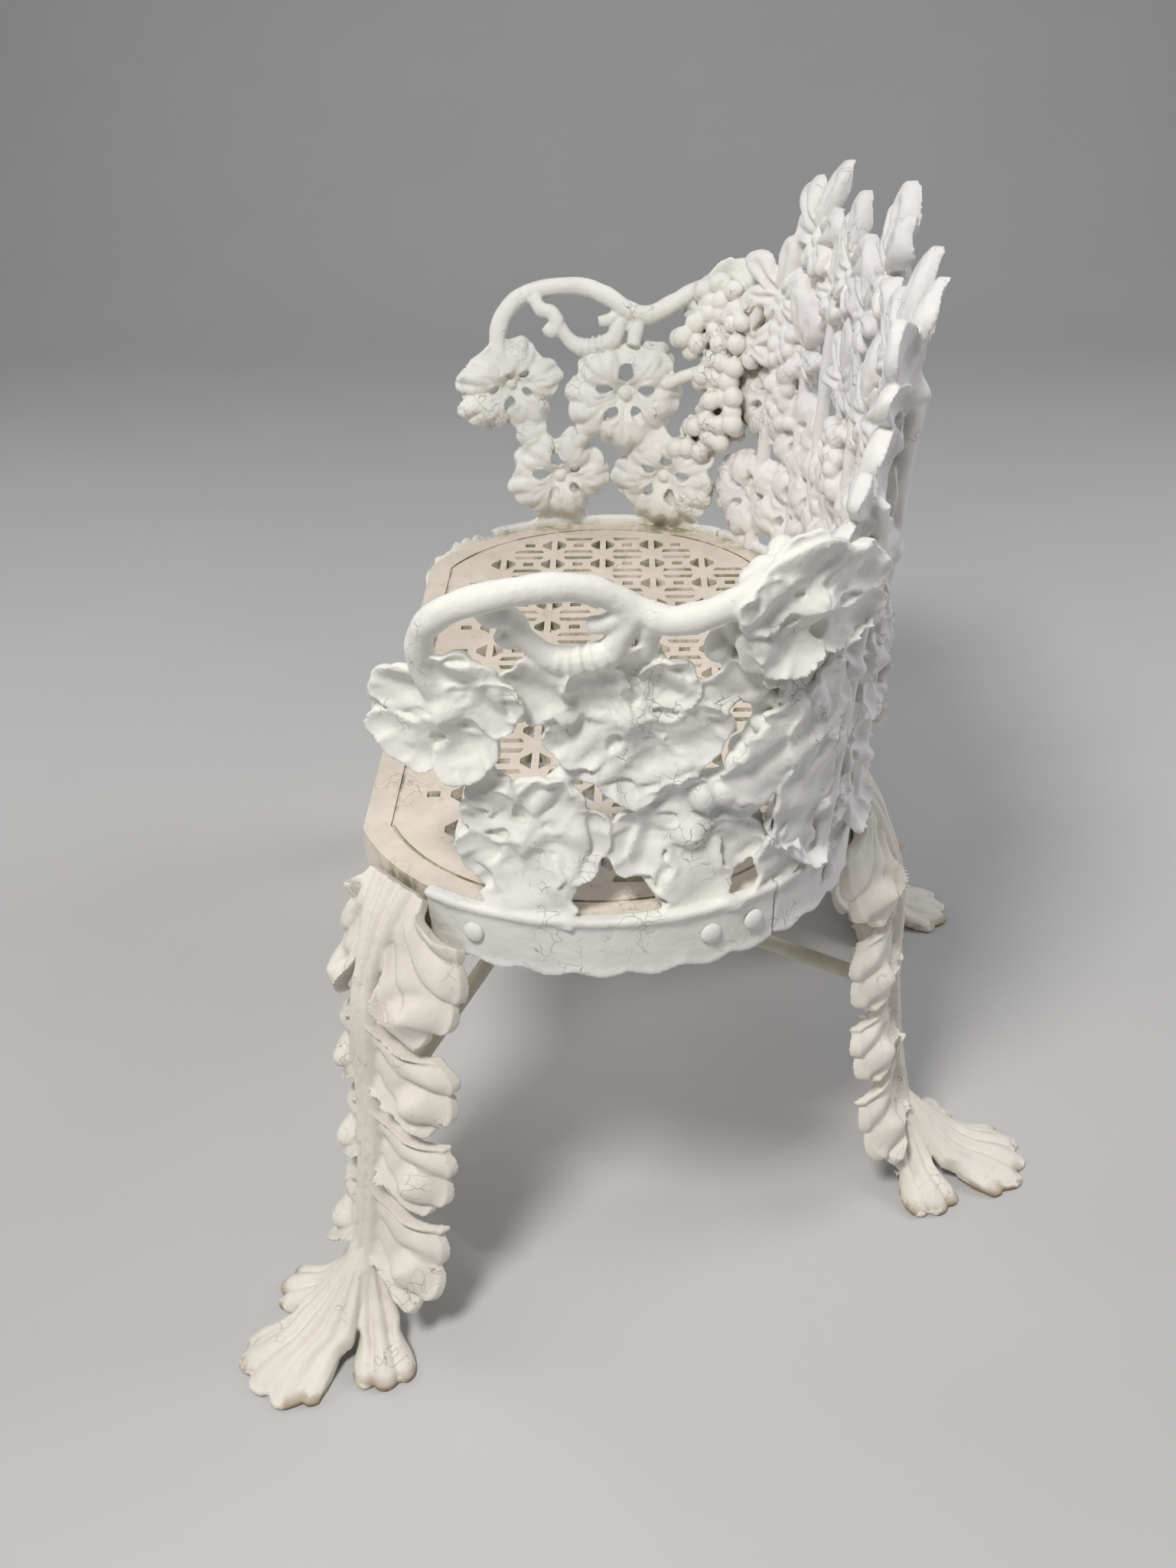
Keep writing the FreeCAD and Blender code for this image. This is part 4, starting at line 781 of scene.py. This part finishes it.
def add_leg_lobe(casting, lobe, side):
    """Drooping lobe of a leg: flutes leave the spine downwards and fan out to a curled edge with round tips.

    On its grid v runs down the spine, and q from the spine to the edge.
    """
    starts, edge, dome_place, body_flutes = lobe
    v, q = grid(np.linspace(0, 1, 84), np.linspace(0, 1, 34))
    ridges = np.abs(np.cos(math.pi * (len(edge) - 1) * v))
    across, height = leg_lobe_plan(starts, edge, v, q, ridges)
    from_dome = np.hypot(across - dome_place[0], height - dome_place[1])
    dome = bell(from_dome, 0, DOME_RADIUS)
    moat = bell(from_dome, 1.9 * DOME_RADIUS, 0.6 * DOME_RADIUS)
    fluted = body_flutes + (1 - body_flutes) * ramp(q, 0.6, 0.85)
    depth = LEG_FLUTE_DEPTH + LEG_FLUTE_GROWTH * q
    flutes = (ridges ** 0.8 - 0.6) * depth * fluted * (1 - 0.5 * ramp(q, 0.88, 1)) * (1 - dome)
    bulb = DOME_HEIGHT * dome - MOAT_DEPTH * moat - HOLLOW_DEPTH * bell(v, 0.5, 0.25) * bell(q, 0.36, 0.16)
    upper_roll = ROLL_HEIGHT * bell(v, 0, 0.07) * (1 - ramp(q, 0.7, 1))
    lower_roll = ROLL_HEIGHT * bell(v, 1, 0.07) * bell(q, 0.68, 0.2)
    layered = LAYER_STEP * (v - 0.55) * ramp(q, 0.2, 0.6)
    curl = -EDGE_CURL * ramp(q, 0.82, 1.0) ** 2
    relief = (bulb + (upper_roll + lower_roll)) * ramp(q, 0.1, 0.4)
    front = 1 + flutes * ramp(q, 0.1, 0.4) + relief + layered + curl
    back = 0.7 * relief + layered + curl - LEG_THICKNESS
    run = run_at(height)
    casting.sheet(on_leg(run, side * across, front), on_leg(run, side * across, back))


def add_spine(casting):
    """Middle rib of a leg with parallel flutes, widening at the top and towards the foot."""
    t, u = grid(np.linspace(0, 1, 70), np.linspace(-1, 1, 25))
    run = t * LEG_RUN[-1]
    top = SPINE_TOP_WIDENING * (1 - ramp(t, 0, 0.2))
    half = SPINE_HALF_WIDTH + top + SPINE_FOOT_WIDENING * ramp(t, 0.78, 1)
    flutes = SPINE_FLUTE_DEPTH * (np.abs(np.cos(u * 1.5 * math.pi)) ** 0.7 - 0.6)
    front = SPINE_RISE + flutes - SPINE_ROUNDING * u ** 2
    back = np.full_like(front, -LEG_THICKNESS)
    casting.sheet(on_leg(run, u * half, front), on_leg(run, u * half, back))


def add_foot(casting):
    """Leaf-shaped foot: a broad middle lobe and two side lobes that fan out from the ankle to the floor."""
    r, u = grid(np.linspace(0, 1, 30), np.linspace(-1, 1, 27))
    for direction, half, reach, waves, half_flutes in FOOT_LOBES:
        slit = 0.26 * ramp(r, 0.5, 0.62)
        scallop = np.abs(np.cos(waves * 0.5 * math.pi * u)) ** 0.5 - 0.6
        outline = reach * (1 - 0.18 * np.abs(u) ** 3 + 0.1 * scallop)
        heading = math.radians(direction) + u * math.radians(half) * (1.12 - slit)
        distance = FOOT_HEEL + r * outline
        x = FOOT_START + distance * np.cos(heading)
        y = distance * np.sin(heading)
        fall = FOOT_RISE * (1 - r) ** 2.2 + FOOT_SLOPE * (1 - r) + FOOT_EDGE
        ridges = np.abs(np.cos(u * half_flutes * math.pi)) ** 0.7 - 0.6
        flutes = FOOT_FLUTE_DEPTH * ridges * ramp(r, 0.0, 0.25) * (1 - 0.75 * ramp(r, 0.6, 0.95))
        bulb = FOOT_BULB * bell(u, 0, 0.6) * bell(r, 0.78, 0.16)
        top = fall + flutes + bulb - FOOT_TIP_FALL * ramp(r, 0.86, 1.0) ** 2
        under = np.maximum(FOOT_CLEARANCE, fall - FOOT_THICKNESS)
        casting.sheet(np.stack([x, y, top], axis=-1), np.stack([x, y, under], axis=-1))


def add_bracket(casting):
    """Tab under the seat with a web down the back of the leg."""
    x, y = grid(np.linspace(BRACKET_REAR, BRACKET_FRONT, 12), np.linspace(-1, 1, 9))
    narrowed = BRACKET_HALF_WIDTH - BRACKET_NARROWING * x / BRACKET_FRONT
    half = np.where(x < 0, BRACKET_HALF_WIDTH, narrowed)
    upper = np.stack([x, y * half, BRACKET_TOP - BRACKET_SINK + 0 * x], axis=-1)
    casting.sheet(upper, upper - np.array([0, 0, BRACKET_THICKNESS]))
    t, s = grid(np.linspace(0, 1, 10), np.linspace(0, 1, 10))
    web_x = t * WEB_REACH + (1 - t) * s * WEB_FOOT_REACH
    web_z = BRACKET_TOP - WEB_SINK - (1 - t) * s * WEB_DROP
    web_side = np.stack([web_x, WEB_HALF_THICKNESS + 0 * t, web_z], axis=-1)
    casting.sheet(web_side, web_side * np.array([1, -1, 1]))


def add_boss(casting, root):
    """Socket of a tie rod, from a point in the leg towards the hub."""
    hub = np.array([0, -HUB_FORWARD, ROD_HEIGHT])
    heading = (hub - root) / np.linalg.norm(hub - root)
    path = [root + heading * step for step in np.linspace(*BOSS_SPAN, len(BOSS_RADII))]
    casting.tube(path, BOSS_RADII, BOSS_SIDES)


def make_leg(name, outward, origin):
    """Leg casting at a place on the seat's edge, with the socket boss of its tie rod."""
    leg = Casting()
    add_spine(leg)
    for lobe in LEG_LOBES:
        for side in (1, -1):
            add_leg_lobe(leg, lobe, side)
    add_foot(leg)
    add_bracket(leg)
    turn = np.array(Matrix.Rotation(math.atan2(outward[1], outward[0]), 3, "Z"))
    place = np.array([origin[0], origin[1], 0])
    leg.points = [points @ turn.T + place for points in leg.points]
    add_boss(leg, np.array([SHIN_REACH - LEG_THICKNESS / 2, 0, ROD_HEIGHT]) @ turn.T + place)
    mesh = leg.fuse(name, *LEG_FUSING)
    keep_above_floor(mesh)
    return mesh


def leg_place(front):
    """Direction outwards and origin of the +X leg at the front or the rear."""
    if front:
        angle = math.radians(FRONT_LEG_ANGLE)
        outward = np.array([math.cos(angle), -math.sin(angle)])
        return outward, np.array([END_CENTRE, 0]) + outward * (END_RADIUS + LEG_FACE)
    angle = math.asin(REAR_LEG_X / REAR_RADIUS)
    outward = np.array([math.sin(angle), math.cos(angle)])
    return outward, np.array([0, REAR_CENTRE]) + outward * (REAR_RADIUS + LEG_FACE)


def keep_above_floor(mesh):
    """Flattens what would lie under the floor."""
    points = np.empty(len(mesh.vertices) * 3, np.float32)
    mesh.vertices.foreach_get("co", points)
    points = points.reshape(-1, 3)
    points[:, 2] = np.maximum(points[:, 2], 0)
    mesh.vertices.foreach_set("co", points.ravel())


def mirrored(mesh, name):
    """Mirror image of a mesh in the bench's middle plane."""
    copy = mesh.copy()
    copy.name = name
    copy.transform(Matrix.Scale(-1, 4, Vector((1, 0, 0))))
    copy.flip_normals()
    return copy


class Nodes:
    """Short way to add and join the nodes of a material."""

    def __init__(self, name):
        self.material = bpy.data.materials.new(name)
        self.material.use_nodes = True
        self.tree = self.material.node_tree
        self.tree.nodes.clear()
        self.place = self.add("ShaderNodeTexCoord").outputs["Object"]

    def add(self, kind, **settings):
        node = self.tree.nodes.new(kind)
        for name, value in settings.items():
            setattr(node, name, value)
        return node

    def join(self, source, target):
        self.tree.links.new(source, target)

    def noise(self, scale, detail, roughness=0.55):
        """Cloudy noise around 0.5."""
        node = self.add("ShaderNodeTexNoise")
        node.inputs["Scale"].default_value = scale
        node.inputs["Detail"].default_value = detail
        node.inputs["Roughness"].default_value = roughness
        self.join(self.place, node.inputs["Vector"])
        return node.outputs["Fac"]

    def span(self, value, low, high, first=0.0, last=1.0):
        """Smooth step of a value, from the first result at low to the last at high."""
        node = self.add("ShaderNodeMapRange", interpolation_type="SMOOTHSTEP")
        node.inputs["From Min"].default_value = low
        node.inputs["From Max"].default_value = high
        node.inputs["To Min"].default_value = first
        node.inputs["To Max"].default_value = last
        self.join(value, node.inputs["Value"])
        return node.outputs["Result"]

    def math(self, operation, first, second):
        """Result of an operation on two sockets or numbers."""
        node = self.add("ShaderNodeMath", operation=operation)
        for socket, value in zip(node.inputs, (first, second)):
            if isinstance(value, (int, float)):
                socket.default_value = value
            else:
                self.join(value, socket)
        return node.outputs["Value"]

    def times(self, first, second):
        """Product of two sockets or numbers."""
        return self.math("MULTIPLY", first, second)

    def mix(self, share, first, second):
        """Colour between two colours or sockets."""
        node = self.add("ShaderNodeMix", data_type="RGBA")
        for index, value in ((MIX_FIRST, first), (MIX_SECOND, second)):
            if isinstance(value, tuple):
                node.inputs[index].default_value = value + (1.0,)
            else:
                self.join(value, node.inputs[index])
        self.join(share, node.inputs[MIX_SHARE])
        return node.outputs[MIX_RESULT]

    def surface(self, shader):
        """Ends the material with a shader."""
        output = self.add("ShaderNodeOutputMaterial")
        self.join(shader.outputs["BSDF"], output.inputs["Surface"])
        return self.material


def brushed_tone(nodes, pale, shade, clouds):
    """Uneven paint between two tones, with brighter patches."""
    patches = nodes.noise(scale=14, detail=5)
    tone = nodes.mix(nodes.span(clouds, 0.38, 0.66), pale, shade)
    bright = tuple(min(1.0, channel * 1.05) for channel in pale)
    return nodes.mix(nodes.span(patches, 0.5, 0.72, 0.0, 0.6), tone, bright)


def crack_lines(nodes, amount):
    """Fine wandering cracks, in patches."""
    swirl = nodes.add("ShaderNodeTexNoise")
    swirl.inputs["Scale"].default_value = 40
    nodes.join(nodes.place, swirl.inputs["Vector"])
    warped = nodes.add("ShaderNodeVectorMath", operation="MULTIPLY_ADD")
    nodes.join(swirl.outputs["Color"], warped.inputs[0])
    warped.inputs[1].default_value = (0.03, 0.03, 0.03)
    nodes.join(nodes.place, warped.inputs[2])
    cells = nodes.add("ShaderNodeTexVoronoi", feature="DISTANCE_TO_EDGE")
    cells.inputs["Scale"].default_value = 85
    nodes.join(warped.outputs[0], cells.inputs["Vector"])
    lines = nodes.span(cells.outputs["Distance"], 0.004, 0.022, 1.0, 0.0)
    return nodes.times(lines, nodes.span(nodes.noise(scale=22, detail=3), 0.53, 0.66, 0.0, amount))


def hollow_shade_and_algal_film(nodes, openness, amount):
    """Algal film in spots, thickest in the hollows, where it is also painted shade."""
    spots = nodes.span(nodes.noise(scale=30, detail=6, roughness=0.7), 0.42, 0.6)
    return nodes.times(nodes.times(spots, amount), nodes.span(openness, 0.35, 0.95, 1.0, 0.12))


def floor_wear(nodes, amount):
    """Paint worn off in spots close to the floor."""
    height = nodes.add("ShaderNodeSeparateXYZ")
    nodes.join(nodes.place, height.inputs[0])
    low = nodes.span(height.outputs["Z"], 0.001, 0.012, 1.0, 0.0)
    return nodes.times(low, nodes.span(nodes.noise(scale=60, detail=4), 0.42, 0.56, 0.0, amount))


def paint_bump(nodes, grain, lines, chips):
    """Normals of a grainy coat that is lower in its cracks and chips."""
    fine = nodes.noise(scale=420, detail=4)
    height = nodes.math("ADD", nodes.times(grain, 0.7), nodes.times(fine, 0.25))
    height = nodes.math("SUBTRACT", height, nodes.times(lines, 0.8))
    height = nodes.math("SUBTRACT", height, nodes.times(chips, 0.6))
    bump = nodes.add("ShaderNodeBump")
    bump.inputs["Strength"].default_value = BUMP_STRENGTH
    bump.inputs["Distance"].default_value = BUMP_HEIGHT
    nodes.join(height, bump.inputs["Height"])
    return bump.outputs["Normal"]


def aged_paint(name, pale, shade, algae_and_shade, crack=1.0, wear=0.0):
    """Old brushed white paint: uneven tone, fine cracks, chips, and dirt and algal film in hollows that also
    paint their shade.
    """
    nodes = Nodes(name)
    hollow = nodes.add("ShaderNodeAmbientOcclusion", samples=6)
    hollow.inputs["Distance"].default_value = HOLLOW_REACH
    openness = hollow.outputs["AO"]
    clouds = nodes.noise(scale=5, detail=4)
    grain = nodes.noise(scale=160, detail=6, roughness=0.65)
    spots = nodes.span(nodes.noise(scale=75, detail=5, roughness=0.7), 0.70, 0.73)
    chips = nodes.times(spots, nodes.span(clouds, 0.45, 0.6))
    lines = crack_lines(nodes, crack)
    # Painted shade mixed with dirt: the dirt colour darkens wherever the ambient occlusion finds a hollow.
    hollow_shade_and_grime = nodes.times(nodes.span(openness, 0.15, 0.62, 1.0, 0.0), nodes.span(grain, 0.3, 0.65, 0.1, 0.6))
    colour = brushed_tone(nodes, pale, shade, clouds)
    colour = nodes.mix(hollow_shade_and_grime, colour, SHADE_AND_GRIME_COLOUR)
    colour = nodes.mix(nodes.times(lines, 0.75), colour, CRACK_COLOUR)
    colour = nodes.mix(nodes.times(chips, 0.7), colour, CHIP_COLOUR)
    # Algal film, laid thickest where the ambient occlusion finds hollows, so it is also painted shade there.
    colour = nodes.mix(hollow_shade_and_algal_film(nodes, openness, algae_and_shade), colour, ALGAE_AND_SHADE_COLOUR)
    if wear:
        colour = nodes.mix(floor_wear(nodes, wear), colour, WORN_COLOUR)
    shader = nodes.add("ShaderNodeBsdfPrincipled")
    nodes.join(colour, shader.inputs["Base Color"])
    nodes.join(nodes.span(grain, 0.3, 0.7, 0.5, 0.78), shader.inputs["Roughness"])
    nodes.join(paint_bump(nodes, grain, lines, chips), shader.inputs["Normal"])
    return nodes.surface(shader)


def show(mesh, name, node, paint):
    """Puts a finished casting in the place of its plain node."""
    mesh.materials.clear()
    mesh.materials.append(paint)
    piece = bpy.data.objects.new(name, mesh)
    bpy.context.scene.collection.objects.link(piece)
    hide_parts(node)
    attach(piece, "root")


def repaint(node, paint):
    """Gives a node that keeps its shape the aged paint."""
    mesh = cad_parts[node].data
    mesh.materials.clear()
    mesh.materials.append(paint)


def make_arms():
    """Far arm, made at the +X end and mirrored, and near arm."""
    paint = aged_paint("arm_paint", (0.84, 0.83, 0.79), (0.76, 0.76, 0.74), algae_and_shade=0.2)
    far_arm = make_arm("arm_far_casting", ARM_STYLE, ARM_STRIPS, FAR_ARM_FUSING)
    show(mirrored(far_arm, "arm_right_casting"), "arm_right_vine", "arm_right", paint)
    near_strips = ARM_STRIPS + NEAR_ARM_STRIPS
    near_arm = make_arm("arm_left_casting", NEAR_ARM_STYLE, near_strips, NEAR_ARM_FUSING)
    show(near_arm, "arm_left_vine", "arm_left", paint)


def make_legs():
    """Front and rear leg at the +X end, and their mirror images."""
    paint = aged_paint("leg_paint", (0.84, 0.80, 0.73), (0.77, 0.73, 0.66), algae_and_shade=0.25, crack=0.8, wear=1.0)
    for end in ("front", "rear"):
        outward, origin = leg_place(end == "front")
        leg = make_leg("leg_%s_casting" % end, outward, origin)
        mirror = mirrored(leg, "leg_%s_mirror" % end)
        show(mirror, "leg_%s_right_leaf" % end, "leg_%s_right" % end, paint)
        show(leg, "leg_%s_left_leaf" % end, "leg_%s_left" % end, paint)


def paint_plain_nodes():
    """Aged paint on the seat, the tie rods and the fasteners."""
    seat_paint = aged_paint("seat_paint", (0.81, 0.73, 0.64), (0.74, 0.66, 0.57), algae_and_shade=0.85, crack=0.7)
    repaint("seat_plate", seat_paint)
    rod_paint = aged_paint("rod_paint", (0.68, 0.66, 0.56), (0.54, 0.52, 0.40), algae_and_shade=1.0)
    for rod in TIE_RODS:
        repaint("tie_rod_" + rod, rod_paint)
    bolt_paint = aged_paint("bolt_paint", (0.82, 0.81, 0.78), (0.74, 0.74, 0.72), algae_and_shade=0.3)
    for fastener in FASTENERS:
        repaint(fastener, bolt_paint)


def floor_grey():
    """Plain grey with very faint clouds."""
    nodes = Nodes("floor_grey")
    shader = nodes.add("ShaderNodeBsdfPrincipled")
    nodes.join(nodes.mix(nodes.noise(scale=3, detail=2), *FLOOR_COLOURS), shader.inputs["Base Color"])
    shader.inputs["Roughness"].default_value = FLOOR_ROUGHNESS
    return nodes.surface(shader)


def make_floor():
    """Pale floor that runs up into a backdrop behind the far end."""
    profile = [(FLOOR_HALF, 0.0), (BACKDROP_X, 0.0)]
    for step in range(1, BACKDROP_STEPS + 1):
        angle = step / BACKDROP_STEPS * math.pi / 2
        rise = BACKDROP_BEND - BACKDROP_BEND * math.cos(angle)
        profile.append((BACKDROP_X - BACKDROP_BEND * math.sin(angle), rise))
    profile.append((BACKDROP_X - BACKDROP_BEND, BACKDROP_HEIGHT))
    corners = [(x, side * FLOOR_HALF, z) for x, z in profile for side in (-1, 1)]
    faces = [(2 * row, 2 * row + 1, 2 * row + 3, 2 * row + 2) for row in range(len(profile) - 1)]
    mesh = bpy.data.meshes.new("floor")
    mesh.from_pydata(corners, [], faces)
    mesh.polygons.foreach_set("use_smooth", [True] * len(mesh.polygons))
    mesh.materials.append(floor_grey())
    floor = bpy.data.objects.new("floor", mesh)
    bpy.context.scene.collection.objects.link(floor)


def add_light(name, place, aim, size, power, colour):
    """Round soft lamp at a place, turned to its aim."""
    lamp = bpy.data.lights.new(name, "AREA")
    lamp.shape = "DISK"
    lamp.size = size
    lamp.energy = power
    lamp.color = colour
    light = bpy.data.objects.new(name, lamp)
    light.location = place
    light.rotation_euler = (Vector(aim) - Vector(place)).to_track_quat("-Z", "Y").to_euler()
    bpy.context.scene.collection.objects.link(light)


def make_light():
    """Key lamp above the near end, a weaker one in front, one behind the back, and a dim even sky."""
    add_light("key", place=(1.8, -0.8, 2.9), aim=(0.1, 0, 0.4), size=0.7, power=72, colour=(1.0, 0.975, 0.94))
    add_light("fill", place=(-0.8, -2.2, 1.8), aim=(0, 0, 0.5), size=1.6, power=14, colour=(0.98, 0.99, 1.0))
    add_light("rear", place=(-0.6, 2.4, 2.0), aim=(0, 0, 0.5), size=1.6, power=30, colour=(0.97, 0.97, 1.0))
    world = bpy.data.worlds.new("studio")
    world.use_nodes = True
    sky = world.node_tree.nodes["Background"]
    sky.inputs["Color"].default_value = SKY_COLOUR
    sky.inputs["Strength"].default_value = SKY_STRENGTH
    bpy.context.scene.world = world


def make_camera():
    """Camera at one end of the bench, above it, as the bench was photographed."""
    data = bpy.data.cameras.new("camera")
    data.sensor_width = CAMERA_SENSOR
    data.lens = CAMERA_LENS
    forward = Vector(CAMERA_FORWARD)
    right = Vector(CAMERA_RIGHT)
    up = right.cross(forward)
    camera = bpy.data.objects.new("camera", data)
    rotation = Matrix((right, up, -forward)).transposed().to_4x4()
    camera.matrix_world = Matrix.Translation(CAMERA_PLACE) @ rotation
    bpy.context.scene.collection.objects.link(camera)
    bpy.context.scene.camera = camera


make_arms()
back_paint = aged_paint("back_paint", (0.82, 0.80, 0.79), (0.75, 0.73, 0.74), algae_and_shade=0.12)
show(make_back(), "back_vine", "back_panel", back_paint)
make_legs()
paint_plain_nodes()
make_floor()
make_light()
make_camera()
bpy.context.scene.view_settings.view_transform = "Standard"
